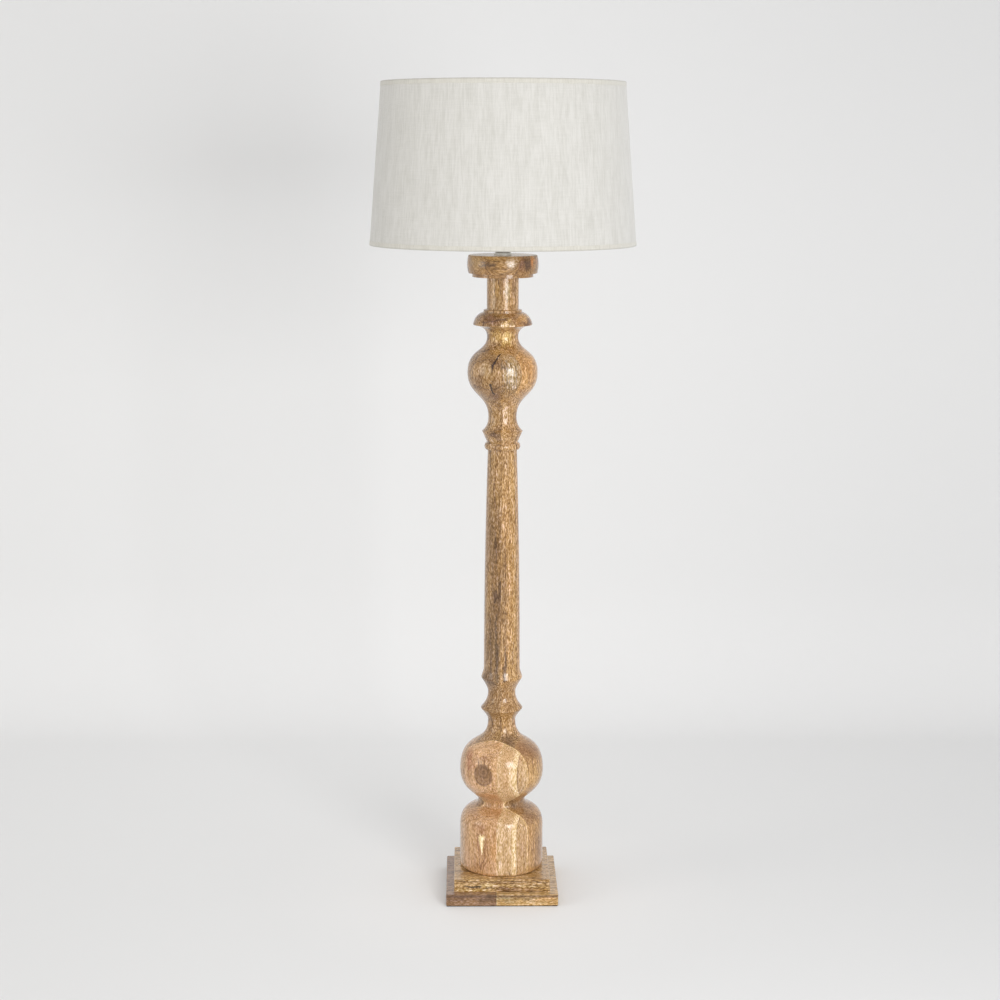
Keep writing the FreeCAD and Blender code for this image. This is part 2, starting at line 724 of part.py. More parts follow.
def hem(rim, inward):
    """The linen turned over the wall's edge and its wire, as a folded strip."""
    wire_at, wire_height = wire_place(rim, inward)
    gap = hem_clearance
    edge = rim + inward * hem_thickness
    far = rim + inward * hem_width
    inner_far = wire_height + inward * (wire_radius + 1.5)
    inner_radius = wire_at - wire_radius - gap
    outer_rim = cone_radius(rim) + gap + hem_thickness
    outer_far = cone_radius(far) + gap
    return turned(straight(
        (outer_far, far), (outer_far + hem_thickness, far), (outer_rim, rim),
        (inner_radius - hem_thickness, rim), (inner_radius - hem_thickness, inner_far),
        (inner_radius, inner_far), (inner_radius, edge), (cone_radius(edge) + gap, edge),
        (outer_far, far)))


def make_shade():
    low = shade_bottom_height + hem_thickness + hem_clearance
    high = shade_top_height - hem_thickness - hem_clearance
    save("shade_linen", cone_wall(0, linen_thickness, low, high))
    save("shade_lining", cone_wall(linen_thickness, lining_thickness, low, high))
    bottom_ring = wire_ring(shade_bottom_height, 1)
    save("bottom_wire_ring", bottom_ring)
    save("top_wire_ring", wire_ring(shade_top_height, -1))
    bottom_hem = hem(shade_bottom_height, 1)
    save("top_hem", hem(shade_top_height, -1))

    fitter = sleeve(fitter_radius, fitter_bore_radius, fitter_foot, fitter_foot + fitter_thickness)
    save("fitter_ring", fitter)
    ring_at, ring_height = wire_place(shade_bottom_height, 1)
    start = V(fitter_radius - 2.0, 0, fitter_foot + fitter_thickness - spoke_radius)
    end = V(ring_at, 0, ring_height)
    spoke = rod(spoke_radius, (end - start).Length, start, end - start)
    spoke = spoke.cut(rod(fitter_radius, 3 * spoke_radius + fitter_thickness,
                          V(0, 0, fitter_foot - 2 * spoke_radius)))
    spoke = spoke.cut(bottom_ring)
    save("spider_spokes", Part.Compound(around(spoke, spoke_count, spoke_first_angle)))
    # the hem's inner edge is notched where a spoke meets the ring
    notch = rod(spoke_radius + hem_clearance, (end - start).Length, start, end - start)
    save("bottom_hem", bottom_hem.cut(around(notch, spoke_count, spoke_first_angle)))


make_base()
make_column()
make_cap()
make_tie_rod()
make_lampholder()
make_bulb()
make_shade()
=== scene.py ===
import math

import bmesh
import bpy
from mathutils import Matrix, Vector


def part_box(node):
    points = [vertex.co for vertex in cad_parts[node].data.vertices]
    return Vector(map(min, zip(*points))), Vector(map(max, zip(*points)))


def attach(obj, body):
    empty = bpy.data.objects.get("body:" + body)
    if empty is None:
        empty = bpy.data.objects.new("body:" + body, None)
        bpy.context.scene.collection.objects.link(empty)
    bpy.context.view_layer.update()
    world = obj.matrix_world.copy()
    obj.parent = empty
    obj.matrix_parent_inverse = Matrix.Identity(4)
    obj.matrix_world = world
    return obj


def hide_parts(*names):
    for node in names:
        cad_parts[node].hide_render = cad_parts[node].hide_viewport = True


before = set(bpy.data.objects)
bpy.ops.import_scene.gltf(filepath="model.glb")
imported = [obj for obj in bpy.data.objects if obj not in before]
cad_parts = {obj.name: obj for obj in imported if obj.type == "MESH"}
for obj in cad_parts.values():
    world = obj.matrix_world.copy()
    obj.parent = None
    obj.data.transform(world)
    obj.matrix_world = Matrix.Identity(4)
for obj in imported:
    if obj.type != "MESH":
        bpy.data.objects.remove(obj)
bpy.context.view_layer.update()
scene = bpy.context.scene
scene.view_settings.view_transform = "Standard"


# ------------------------------------------------------------------ camera
# The lamp is seen from nearly 4 m in front and a little to the left, from the height of the
# shade and looking down, through a short telephoto lens.
camera_place = (-0.0693, -3.7697, 1.4467)
camera_turn = math.radians(0.988)
camera_dip = math.radians(10.06)
camera_roll = math.radians(0.144)
camera_lens = bpy.data.cameras.new("camera")
camera_lens.lens = 71.96
camera_lens.sensor_width = 36.0
camera_lens.clip_end = 60.0
camera = bpy.data.objects.new("camera", camera_lens)
camera.location = camera_place
camera.rotation_euler = (Matrix.Rotation(-camera_turn, 3, "Z")
                         @ Matrix.Rotation(math.pi / 2 - camera_dip, 3, "X")
                         @ Matrix.Rotation(camera_roll, 3, "Z")).to_euler()
scene.collection.objects.link(camera)
scene.camera = camera


# ------------------------------------------------------------------ studio
# Pale paper runs from the floor up a low cove to a wall behind the lamp. Its colour holds
# painted light: paler round the lamp's foot, where it lifts the lamp's shadow, brightest just
# left of the lamp and darker towards the sides, most to the right, and darker up the wall and
# towards the camera. The camera sees through its back, so that the lamp shows from behind too.
def add(tree, kind, inputs=(), **settings):
    """Adds a node. Each input is a value, or a socket to link from."""
    made = tree.nodes.new(kind)
    for name, value in settings.items():
        setattr(made, name, value)
    for name, value in dict(inputs).items():
        if isinstance(value, bpy.types.NodeSocket):
            tree.links.new(value, made.inputs[name])
        else:
            made.inputs[name].default_value = value
    return made


def tone(red, green, blue):
    """A screen colour, 0 to 255 in each channel, as the linear colour that a shader takes."""
    shares = [channel / 255 for channel in (red, green, blue)]
    return [s / 12.92 if s <= 0.04045 else ((s + 0.055) / 1.055) ** 2.4 for s in shares] + [1.0]


def empty_material(name):
    made = bpy.data.materials.new(name)
    made.use_nodes = True
    made.node_tree.nodes.clear()
    return made, made.node_tree


def new_piece(name, mesh):
    piece = bpy.data.objects.new(name, mesh)
    scene.collection.objects.link(piece)
    return piece


def object_place(tree):
    return add(tree, "ShaderNodeTexCoord").outputs["Object"]


def between(tree, value, low, high, out_low=0.0, out_high=1.0):
    """A value eased from out_low to out_high as it goes from low to high."""
    return add(tree, "ShaderNodeMapRange", {"Value": value, "From Min": low, "From Max": high,
                                            "To Min": out_low, "To Max": out_high},
               interpolation_type="SMOOTHSTEP").outputs[0]


def blended(tree, share, first, second, blend="MIX"):
    """A colour between two, with the share as the second's part."""
    made = add(tree, "ShaderNodeMix", {0: share, 6: first, 7: second}, data_type="RGBA",
               blend_type=blend)
    return made.outputs[2]


def maths(tree, operation, *values, **settings):
    return add(tree, "ShaderNodeMath", dict(enumerate(values)), operation=operation,
               **settings).outputs[0]


def times(tree, first, second):
    return maths(tree, "MULTIPLY", first, second)


paper_half_width = 9.0
paper_front = -9.0
cove_start = 0.98
cove_radius = 0.34
wall_top = 6.0
cove_steps = 16
# painted light and shade in the paper's colour: across, up the wall, towards the camera, and round
# the foot
painted_light_across = ((-1.3, 0.825), (-0.2, 0.856), (1.3, 0.785))
painted_shade_high = (0.85, 1.9, 0.945)
painted_shade_near = (0.9, -0.7, 0.945)
painted_light_foot = (0.12, 0.50, 1.055)
paper_line = [(paper_front, 0.0)]
for step in range(cove_steps + 1):
    turn = math.pi / 2 * step / cove_steps
    paper_line.append((cove_start + cove_radius * math.sin(turn),
                       cove_radius * (1 - math.cos(turn))))
paper_line.append((cove_start + cove_radius, wall_top))
paper_mesh = bpy.data.meshes.new("paper")
paper_points = [(x, y, z) for y, z in paper_line for x in (-paper_half_width, paper_half_width)]
paper_faces = [(2 * i, 2 * i + 1, 2 * i + 3, 2 * i + 2) for i in range(len(paper_line) - 1)]
paper_mesh.from_pydata(paper_points, [], paper_faces)
paper_mesh.shade_smooth()
paper = new_piece("paper_backdrop", paper_mesh)
paper_material, tree = empty_material("backdrop_paper")
paper_place = add(tree, "ShaderNodeSeparateXYZ", {0: object_place(tree)})
left, middle, right = painted_light_across
paper_painted_light = times(tree, between(tree, paper_place.outputs["X"], left[0], middle[0], left[1],
                                  middle[1]),
                    between(tree, paper_place.outputs["X"], middle[0], right[0], 1.0,
                            right[1] / middle[1]))
for axis, (start, end, last) in (("Z", painted_shade_high), ("Y", painted_shade_near)):
    paper_painted_light = times(tree, paper_painted_light, between(tree, paper_place.outputs[axis], start, end,
                                                   1.0, last))
# painted light round the lamp's foot, lifting the shadow that the base casts there
near, far, lift = painted_light_foot
foot_far = add(tree, "ShaderNodeVectorMath", {0: object_place(tree)}, operation="LENGTH")
paper_painted_light = times(tree, paper_painted_light, between(tree, foot_far.outputs["Value"], near, far, lift,
                                               1.0))
paper_colour = add(tree, "ShaderNodeCombineColor", {axis: paper_painted_light for axis in range(3)})
paper_face = add(tree, "ShaderNodeBsdfDiffuse", {"Color": paper_colour.outputs[0]})
paper_back = add(tree, "ShaderNodeBsdfTransparent")
paper_side = add(tree, "ShaderNodeNewGeometry")
paper_mix = add(tree, "ShaderNodeMixShader", {0: paper_side.outputs["Backfacing"],
                                              1: paper_face.outputs[0],
                                              2: paper_back.outputs[0]})
add(tree, "ShaderNodeOutputMaterial", {"Surface": paper_mix.outputs[0]})
paper_mesh.materials.append(paper_material)

world = bpy.data.worlds.new("studio")
world.use_nodes = True
world.node_tree.nodes.clear()
tree = world.node_tree
ray = add(tree, "ShaderNodeLightPath")
room_light = add(tree, "ShaderNodeBackground", {"Color": (1, 1, 1, 1), "Strength": 0.82})
room_seen = add(tree, "ShaderNodeBackground", {"Color": tone(229, 229, 229), "Strength": 1.0})
room_mix = add(tree, "ShaderNodeMixShader", {0: ray.outputs["Is Camera Ray"],
                                             1: room_light.outputs[0],
                                             2: room_seen.outputs[0]})
add(tree, "ShaderNodeOutputWorld", {"Surface": room_mix.outputs[0]})
scene.world = world


# A soft box stands to the right of the camera, as high as the shade, and a weaker, warmer one
# stands at the lamp's left side. They show as two highlights on each turned swelling.
def soft_box(name, bearing, distance, height, side, energy, colour):
    light = bpy.data.lights.new(name, "AREA")
    light.shape = "SQUARE"
    light.size = side
    light.energy = energy
    light.color = colour
    placed = bpy.data.objects.new(name, light)
    placed.location = (distance * math.sin(math.radians(bearing)),
                       -distance * math.cos(math.radians(bearing)), height)
    aim = Vector((0, 0, 0.9)) - placed.location
    placed.rotation_euler = aim.to_track_quat("-Z", "Y").to_euler()
    scene.collection.objects.link(placed)


soft_box("key", 24, 3.0, 1.40, 1.15, 37.0, (1.0, 1.0, 1.0))
soft_box("fill", -70, 3.0, 1.30, 1.1, 9.0, (1.0, 0.95, 0.85))


# ------------------------------------------------------------------ floor pad
# A square of dark felt is glued under the lower plinth. It is cut from 2 mm sheet, and its
# cut edge is rounded and slightly ragged.
def finish_shader(made, tree, colour, roughness, metallic=0.0, normal=None, **constants):
    """Ends a material in a Principled shader. The constants are set on its own sockets."""
    inputs = {"Base Color": colour, "Roughness": roughness, "Metallic": metallic}
    if normal is not None:
        inputs["Normal"] = normal
    for words, value in constants.items():
        inputs[words.replace("_", " ").title().replace("Ior", "IOR")] = value
    shader = add(tree, "ShaderNodeBsdfPrincipled", inputs)
    add(tree, "ShaderNodeOutputMaterial", {"Surface": shader.outputs[0]})
    return made


def stretched(tree, place, scale):
    """A place whose axes are scaled, so that a pattern on it is drawn out along some of them."""
    return add(tree, "ShaderNodeMapping", {"Vector": place, "Scale": scale}).outputs[0]


def noise(tree, place, scale, detail=2.0, rough=0.5):
    return add(tree, "ShaderNodeTexNoise", {"Vector": place, "Scale": scale, "Detail": detail,
                                            "Roughness": rough}).outputs["Fac"]


def plus(tree, first, second):
    return maths(tree, "ADD", first, second)


def bumped(tree, height, distance, strength=1.0):
    return add(tree, "ShaderNodeBump", {"Height": height, "Distance": distance,
                                        "Strength": strength}).outputs[0]


felt_low, felt_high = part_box("floor_pad")
felt_steps = 60
felt_ragged = 0.0002
felt_round = 0.0004
felt_side = felt_high.x - felt_low.x
shape = bmesh.new()
bmesh.ops.create_grid(shape, x_segments=felt_steps, y_segments=felt_steps, size=felt_side / 2)
for vertex in shape.verts:
    vertex.co.z = felt_high.z
walls = bmesh.ops.extrude_face_region(shape, geom=shape.faces[:])
for vertex in [v for v in walls["geom"] if isinstance(v, bmesh.types.BMVert)]:
    vertex.co.z = felt_low.z
bmesh.ops.recalc_face_normals(shape, faces=shape.faces)
for vertex in shape.verts:
    reach = max(abs(vertex.co.x), abs(vertex.co.y))
    if reach > felt_side / 2 - 1e-6:
        ragged = felt_ragged * (1 + math.sin(vertex.co.x * 311) * math.sin(vertex.co.y * 277)) / 2
        vertex.co.xy *= 1 - ragged / reach
felt_mesh = bpy.data.meshes.new("felt_pad")
shape.to_mesh(felt_mesh)
shape.free()
felt = new_piece("felt_pad", felt_mesh)
felt_bevel = felt.modifiers.new("rounded", "BEVEL")
felt_bevel.width = felt_round
felt_bevel.segments = 2
felt_made, tree = empty_material("felt_dark")
place = object_place(tree)
fibres = noise(tree, place, 1400, 3)
clumps = noise(tree, place, 160, 2)
colour = blended(tree, clumps, tone(20, 18, 17), tone(34, 31, 29))
colour = blended(tree, between(tree, fibres, 0.5, 0.75), colour, tone(56, 52, 48))
felt_mesh.materials.append(finish_shader(felt_made, tree, colour, 0.95,
                                         normal=bumped(tree, fibres, 0.0006)))
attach(felt, "lamp")
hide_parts("floor_pad")


# ------------------------------------------------------------------ lower plinth
# A square of two mango-wood boards glued edge to edge, dark on the left and light on the
# right. The boards are planed, their edges eased, and clear satin lacquer covers the wood.
COLOUR, NUMBER, VECTOR = "NodeSocketColor", "NodeSocketFloat", "NodeSocketVector"


def value_group(name, inputs, outputs):
    """A node group whose inputs and outputs are given as each one's name and type."""
    group = bpy.data.node_groups.new(name, "ShaderNodeTree")
    for side, sockets in (("INPUT", inputs), ("OUTPUT", outputs)):
        for label, kind in sockets.items():
            group.interface.new_socket(label, in_out=side, socket_type=kind)
    return group, group.nodes.new("NodeGroupInput").outputs


def vector(tree, operation, first, second=None, output="Vector"):
    inputs = {0: first} if second is None else {0: first, 1: second}
    return add(tree, "ShaderNodeVectorMath", inputs, operation=operation).outputs[output]


def drawn_out(tree, place, amount):
    return add(tree, "ShaderNodeVectorMath", {0: place, "Scale": amount},
               operation="SCALE").outputs[0]


def length_of(tree, way):
    return vector(tree, "LENGTH", way, output="Value")


def shaken(tree, place, scale, detail, rough, amount):
    """An offset that noise draws at a place, up to half the amount each way."""
    drawn = add(tree, "ShaderNodeTexNoise", {"Vector": place, "Scale": scale, "Detail": detail,
                                             "Roughness": rough})
    away = vector(tree, "SUBTRACT", drawn.outputs["Color"], (0.5, 0.5, 0.5))
    return drawn_out(tree, away, amount)


light_powers = (0.95, 1.25, 2.3)
light_tint = (0.98, 0.93, 0.74)
streak_depth = (1.0, 0.12, 1.0)


def make_mango_grain():
    """Mango wood in a frame whose Z is along the grain and whose origin is at the pith."""
    tree, given = value_group(
        "mango_grain",
        {"Vector": VECTOR, "Seed": NUMBER, "Pale": COLOUR, "Middle": COLOUR, "Dark": COLOUR,
         "Ring Width": NUMBER, "Rings": NUMBER, "Swirl": NUMBER, "Streaks": NUMBER,
         "Contrast": NUMBER},
        {"Color": COLOUR, "Light": COLOUR, "Roughness": NUMBER, "Height": NUMBER})
    seed = add(tree, "ShaderNodeCombineXYZ", {axis: given["Seed"] for axis in range(3)})
    place = vector(tree, "ADD", given["Vector"], seed.outputs[0])
    # the rings wander along the grain
    wander = shaken(tree, stretched(tree, place, (1, 1, 0.2)), 13.0, 3.5, 0.55, 0.030)
    bent = vector(tree, "ADD", given["Vector"], wander)
    radius = length_of(tree, vector(tree, "MULTIPLY", bent, (1, 1, 0)))
    rings = plus(tree, maths(tree, "DIVIDE", radius, given["Ring Width"]), given["Swirl"])
    along = add(tree, "ShaderNodeSeparateXYZ", {0: place}).outputs["Z"]
    ring_place = add(tree, "ShaderNodeCombineXYZ", {0: rings, 1: times(tree, along, 2.0),
                                                    2: given["Seed"]}).outputs[0]
    bands = between(tree, noise(tree, ring_place, 0.45, 2.0), 0.34, 0.66)
    # each ring ends in a thin darker line of late wood, which comes and goes
    late = between(tree, maths(tree, "FRACT", rings), 0.45, 0.97)
    shown = between(tree, noise(tree, ring_place, 0.8, 2.0), 0.42, 0.62)
    late = times(tree, times(tree, late, shown), given["Rings"])
    # blotches, fibres, short flecks and open pores
    blotch = between(tree, noise(tree, stretched(tree, place, (1, 1, 0.42)), 26, 3.0), 0.36, 0.66)
    fibres = noise(tree, stretched(tree, vector(tree, "ADD", place, wander), (1, 1, 0.06)),
                   440, 2.5, 0.6)
    flecks = noise(tree, stretched(tree, place, (1, 1, 0.16)), 420, 2.0)
    flecks = between(tree, flecks, 0.52, 0.68)
    speckle = noise(tree, stretched(tree, place, (1, 1, 0.28)), 600, 1.5, 0.6)
    mottle = noise(tree, stretched(tree, place, (1, 1, 0.22)), 150, 2.0)
    pores = noise(tree, stretched(tree, place, (1, 1, 0.055)), 950, 1.0)
    pores = between(tree, pores, 0.60, 0.69)
    # dark mineral streaks come in patches
    streaks = noise(tree, stretched(tree, vector(tree, "ADD", place, drawn_out(tree, wander, 1.5)),
                                    (1, 1, 0.07)), 120, 3.0, 0.6)
    streaks = between(tree, streaks, 0.52, 0.66)
    patches = noise(tree, stretched(tree, place, (1, 1, 0.3)), 22, 1.5)
    patches = between(tree, patches, 0.40, 0.62)
    streaks = times(tree, times(tree, streaks, patches), given["Streaks"])
    ground = plus(tree, times(tree, bands, 0.5), times(tree, blotch, 0.5))
    colour = blended(tree, ground, given["Pale"], given["Middle"])
    colour = blended(tree, late, colour, given["Dark"])
    colour = blended(tree, times(tree, flecks, 0.36), colour, given["Dark"])
    colour = blended(tree, streaks, colour, given["Dark"])
    light = times(tree, between(tree, fibres, 0.30, 0.70, 0.76, 1.18),
                  between(tree, speckle, 0.30, 0.70, 0.52, 1.46))
    light = times(tree, light, between(tree, mottle, 0.30, 0.70, 0.90, 1.10))
    # the darker wood is redder, and the lacquer warms it all
    powers = [maths(tree, "POWER", light, times(tree, given["Contrast"], power))
              for power in light_powers]
    light = add(tree, "ShaderNodeCombineXYZ", dict(enumerate(powers))).outputs[0]
    light = vector(tree, "MULTIPLY", light, light_tint)
    colour = blended(tree, times(tree, pores, 0.38), colour, given["Dark"])
    rough = plus(tree, plus(tree, times(tree, pores, 0.2), times(tree, fibres, 0.14)), 0.34)
    height = maths(tree, "SUBTRACT", times(tree, fibres, 0.4), pores)
    add(tree, "NodeGroupOutput", {"Color": colour, "Light": light, "Roughness": rough,
                                  "Height": height})
    return tree


def make_patch():
    """A mask that is 1 inside an egg round a point and fades out at its ragged edge."""
    tree, given = value_group(
        "patch", {"Vector": VECTOR, "Centre": VECTOR, "Reach": VECTOR, "Soft": NUMBER,
                  "Ragged": NUMBER}, {"Mask": NUMBER})
    away = vector(tree, "DIVIDE", vector(tree, "SUBTRACT", given["Vector"], given["Centre"]),
                  given["Reach"])
    edge = plus(tree, noise(tree, away, 2.4, 4.0, 0.6), -0.5)
    far = plus(tree, length_of(tree, away), times(tree, edge, given["Ragged"]))
    start = maths(tree, "SUBTRACT", 1.0, given["Soft"])
    add(tree, "NodeGroupOutput", {"Mask": between(tree, far, start, 1.0, 1.0, 0.0)})
    return tree


def make_streak():
    """A mask that is 1 along a tapering line between two points, and runs deep into the wood."""
    tree, given = value_group(
        "streak", {"Vector": VECTOR, "Start": VECTOR, "End": VECTOR, "Start Width": NUMBER,
                   "End Width": NUMBER, "Ragged": NUMBER}, {"Mask": NUMBER})
    away = vector(tree, "MULTIPLY", vector(tree, "SUBTRACT", given["Vector"], given["Start"]),
                  streak_depth)
    run = vector(tree, "MULTIPLY", vector(tree, "SUBTRACT", given["End"], given["Start"]),
                 streak_depth)
    share = maths(tree, "DIVIDE", vector(tree, "DOT_PRODUCT", away, run, "Value"),
                  vector(tree, "DOT_PRODUCT", run, run, "Value"), use_clamp=True)
    far = length_of(tree, vector(tree, "SUBTRACT", away, drawn_out(tree, run, share)))
    wobble = times(tree, plus(tree, noise(tree, given["Vector"], 210, 3.0, 0.6), -0.5),
                   given["Ragged"])
    width = add(tree, "ShaderNodeMapRange", {"Value": share, "To Min": given["Start Width"],
                                             "To Max": given["End Width"]}).outputs[0]
    ratio = maths(tree, "DIVIDE", plus(tree, far, wobble), width)
    add(tree, "NodeGroupOutput", {"Mask": between(tree, ratio, 0.35, 1.0, 1.0, 0.0)})
    return tree


def make_seam():
    """A mask that is 1 at a plane, Offset along its Normal, and fades out over the Width."""
    tree, given = value_group(
        "seam", {"Vector": VECTOR, "Normal": VECTOR, "Offset": NUMBER, "Width": NUMBER},
        {"Mask": NUMBER})
    away = vector(tree, "DOT_PRODUCT", given["Vector"], given["Normal"], "Value")
    away = maths(tree, "ABSOLUTE", maths(tree, "SUBTRACT", away, given["Offset"]))
    ratio = maths(tree, "DIVIDE", away, given["Width"])
    add(tree, "NodeGroupOutput", {"Mask": between(tree, ratio, 0.3, 1.0, 1.0, 0.0)})
    return tree


mango_grain = make_mango_grain()
patch = make_patch()
streak = make_streak()
seam = make_seam()
upright = (0.0, 0.0, 0.0)
lying = (0.0, math.pi / 2, 0.0)


def grouped(tree, group, place, **inputs):
    """Lays a group on a place. A word's underscore stands for a space in the input's name."""
    named = {words.replace("_", " ").title(): value for words, value in inputs.items()}
    return add(tree, "ShaderNodeGroup", {"Vector": place} | named, node_tree=group).outputs


def metres(*lengths):
    return tuple(length / 1000 for length in lengths)


def wandering(tree, place, amount):
    """A place shaken by noise, so that what is laid on it gets a wavy outline. It is in mm."""
    shake = shaken(tree, stretched(tree, place, (1, 1, 0.5)), 70.0, 4.0, 0.65, amount / 1000)
    return vector(tree, "ADD", place, shake)


patch_shake = 34
streak_shake = 12
patch_soft = 0.85


def painted(tree, place, colour, patches=(), streaks=(), seams=()):
    """Lays patches, streaks and seams over a colour. Their places and sizes are in mm."""
    wide = wandering(tree, place, patch_shake) if patches else place
    fine = wandering(tree, place, streak_shake) if streaks else place
    masks = []
    for centre, reach, ragged, paint, share in patches:
        laid = grouped(tree, patch, wide, centre=metres(*centre), reach=metres(*reach),
                       soft=patch_soft, ragged=ragged)
        masks.append((laid["Mask"], paint, share))
    for start, end, widths, ragged, paint, share in streaks:
        laid = grouped(tree, streak, fine, start=metres(*start), end=metres(*end),
                       start_width=widths[0] / 1000, end_width=widths[1] / 1000,
                       ragged=ragged / 1000)
        masks.append((laid["Mask"], paint, share))
    for normal, offset, width, paint, share in seams:
        laid = grouped(tree, seam, place, normal=normal, offset=offset / 1000,
                       width=width / 1000)
        masks.append((laid["Mask"], paint, share))
    for mask, paint, share in masks:
        colour = blended(tree, times(tree, mask, share), colour, tone(*paint))
    return colour


grain_depth = 0.00012
lacquer = {"coat_weight": 1.0, "coat_roughness": 0.15, "specular_ior_level": 0.25}


def wood(node, seed, pale, middle, dark, pith, turn=upright, ring=5.0, rings=0.3, streaks=0.5,
         contrast=1.0, marks=(), swirl=None, inlay=None):
    """Gives a wooden CAD node its own board. The pith, and a ring's width, are in mm."""
    made, tree = empty_material(node + "_wood")
    place = object_place(tree)
    along = add(tree, "ShaderNodeMapping", {"Vector": place, "Rotation": turn,
                                            "Location": metres(-pith[0], -pith[1], 0)}).outputs[0]
    grain = grouped(tree, mango_grain, along, seed=seed, pale=tone(*pale), middle=tone(*middle),
                    dark=tone(*dark), ring_width=ring / 1000, rings=rings, streaks=streaks,
                    contrast=contrast, swirl=swirl(tree, place) if swirl else 0.0)
    colour = painted(tree, place, grain["Color"], *marks)
    if inlay:
        colour = inlay(tree, place, colour)
    colour = blended(tree, 1.0, colour, grain["Light"], "MULTIPLY")
    finish_shader(made, tree, colour, grain["Roughness"],
                  normal=bumped(tree, grain["Height"], grain_depth, 0.5), **lacquer)
    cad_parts[node].material_slots[0].material = made


facing_right = (1.0, 0.0, 0.0)
facing_up = (0.0, 0.0, 1.0)
board_joint = -11.0
# a band of painted shadow runs along the top of each board's front face, under the upper plinth
painted_shadow_height = 20.6
patches = [
    ((-64, -108, 9), (40, 30, 9), 1.0, (158, 122, 92), 0.5),
    ((-28, -108, 16), (20, 30, 10), 1.0, (112, 82, 64), 0.5),
    ((-80, -108, 21), (30, 30, 6), 1.2, (112, 78, 56), 0.6),
    ((-30, -108, 14), (26, 30, 14), 1.2, (104, 76, 56), 0.5)]
seams = [
    (facing_right, board_joint, 1.4, (70, 48, 36), 0.8),
    (facing_up, painted_shadow_height, 3.6, (84, 58, 42), 0.6)]
wood("lower_plinth_left_board", 1.3, (172, 136, 106), (140, 106, 80), (86, 60, 46), (-60, 130),
     lying, ring=4.0, rings=0.4, streaks=0.5, marks=(patches, (), seams))
patches = [
    ((6, -108, 16), (26, 30, 9), 1.0, (160, 144, 116), 0.75),
    ((44, -108, 20), (36, 30, 5), 1.4, (140, 112, 76), 0.75),
    ((84, -108, 14), (30, 30, 9), 1.2, (208, 160, 108), 0.5)]
seams = [
    (facing_right, board_joint, 1.8, (232, 210, 174), 0.5),
    (facing_up, 4.0, 3.4, (220, 184, 134), 0.55),
    (facing_up, painted_shadow_height, 3.6, (108, 78, 54), 0.75)]
wood("lower_plinth_right_board", 4.1, (214, 178, 128), (186, 152, 106), (112, 88, 60), (-90, 60),
     lying, ring=4.0, rings=0.5, streaks=0.45, marks=(patches, (), seams))


# ------------------------------------------------------------------ upper plinth
# A smaller square of one mango board, screwed on from below. Dark wavy mineral streaks run
# across its front and a pale swirl breaks them.
patches = [
    ((-31, -93, 36), (16, 30, 9), 1.3, (222, 194, 142), 0.75),
    ((10, -93, 27), (34, 30, 7), 1.2, (112, 78, 58), 0.8),
    ((54, -93, 27), (44, 30, 5), 1.2, (150, 112, 76), 0.6),
    ((6, -87, 48.5), (22, 7, 4), 1.2, (92, 62, 42), 0.9),
    ((62, -85, 48.5), (18, 6, 4), 1.2, (76, 52, 36), 0.9),
    ((30, -89, 48.5), (40, 4, 3), 1.4, (124, 92, 60), 0.6),
    # the two pale bands on the top face just in front of the bell's foot are painted light,
    # lifting the bell's shade there
    ((-60, -84, 48.5), (44, 12, 4), 1.4, (236, 206, 156), 0.7),
    ((4, -78, 48.5), (110, 9, 4), 1.0, (236, 200, 152), 0.7)]
streaks = [
    ((-74, -93, 35), (-42, -93, 33), (1.6, 3.2), 2.6, (62, 44, 28), 0.85),
    ((-30, -93, 32), (-16, -93, 31), (2.0, 1.4), 1.5, (66, 44, 28), 0.85),
    ((-88, -93, 43), (20, -93, 42), (1.0, 1.4), 2.4, (134, 98, 62), 0.5),
    ((-30, -93, 38), (88, -93, 33), (1.2, 1.6), 2.8, (232, 204, 154), 0.6),
    ((-86, -93, 28), (-30, -93, 27), (1.6, 1.8), 2.0, (236, 208, 160), 0.8),
    ((0, -93, 24), (90, -93, 25), (1.4, 1.6), 1.6, (96, 66, 48), 0.6),
    ((-88, -93, 45), (90, -93, 43.5), (0.8, 1.4), 2.0, (88, 60, 38), 0.6)]
wood("upper_plinth", 7.7, (210, 174, 122), (180, 142, 94), (80, 54, 34), (-45, -20), lying,
     ring=4.2, rings=0.35, streaks=0.7, contrast=1.3, marks=(patches, streaks))


# ------------------------------------------------------------------ fixings of the base
# Zinc-plated countersunk screws and the nut and washer of the tie rod are under the plinth
# and out of sight, and a black nylon bush lines the cord's hole at the back. Two plain beech
# dowels keep the column from turning.
def make_surface():
    """A plain finish: its colour drifts a little, and fine marks dull it and stand out."""
    tree, given = value_group(
        "surface", {"Vector": VECTOR, "Base": COLOUR, "Mark": COLOUR, "Scale": NUMBER,
                    "Amount": NUMBER, "Shine": NUMBER, "Spread": NUMBER},
        {"Color": COLOUR, "Roughness": NUMBER, "Height": NUMBER})
    fine = noise(tree, given["Vector"], given["Scale"], 3.0)
    drift = noise(tree, given["Vector"], 45, 2.0)
    marks = times(tree, plus(tree, times(tree, between(tree, fine, 0.45, 0.72), 0.6),
                             times(tree, between(tree, drift, 0.4, 0.7), 0.4)), given["Amount"])
    rough = plus(tree, given["Shine"], times(tree, fine, given["Spread"]))
    add(tree, "NodeGroupOutput", {"Color": blended(tree, marks, given["Base"], given["Mark"]),
                                  "Roughness": rough, "Height": fine})
    return tree


surface = make_surface()


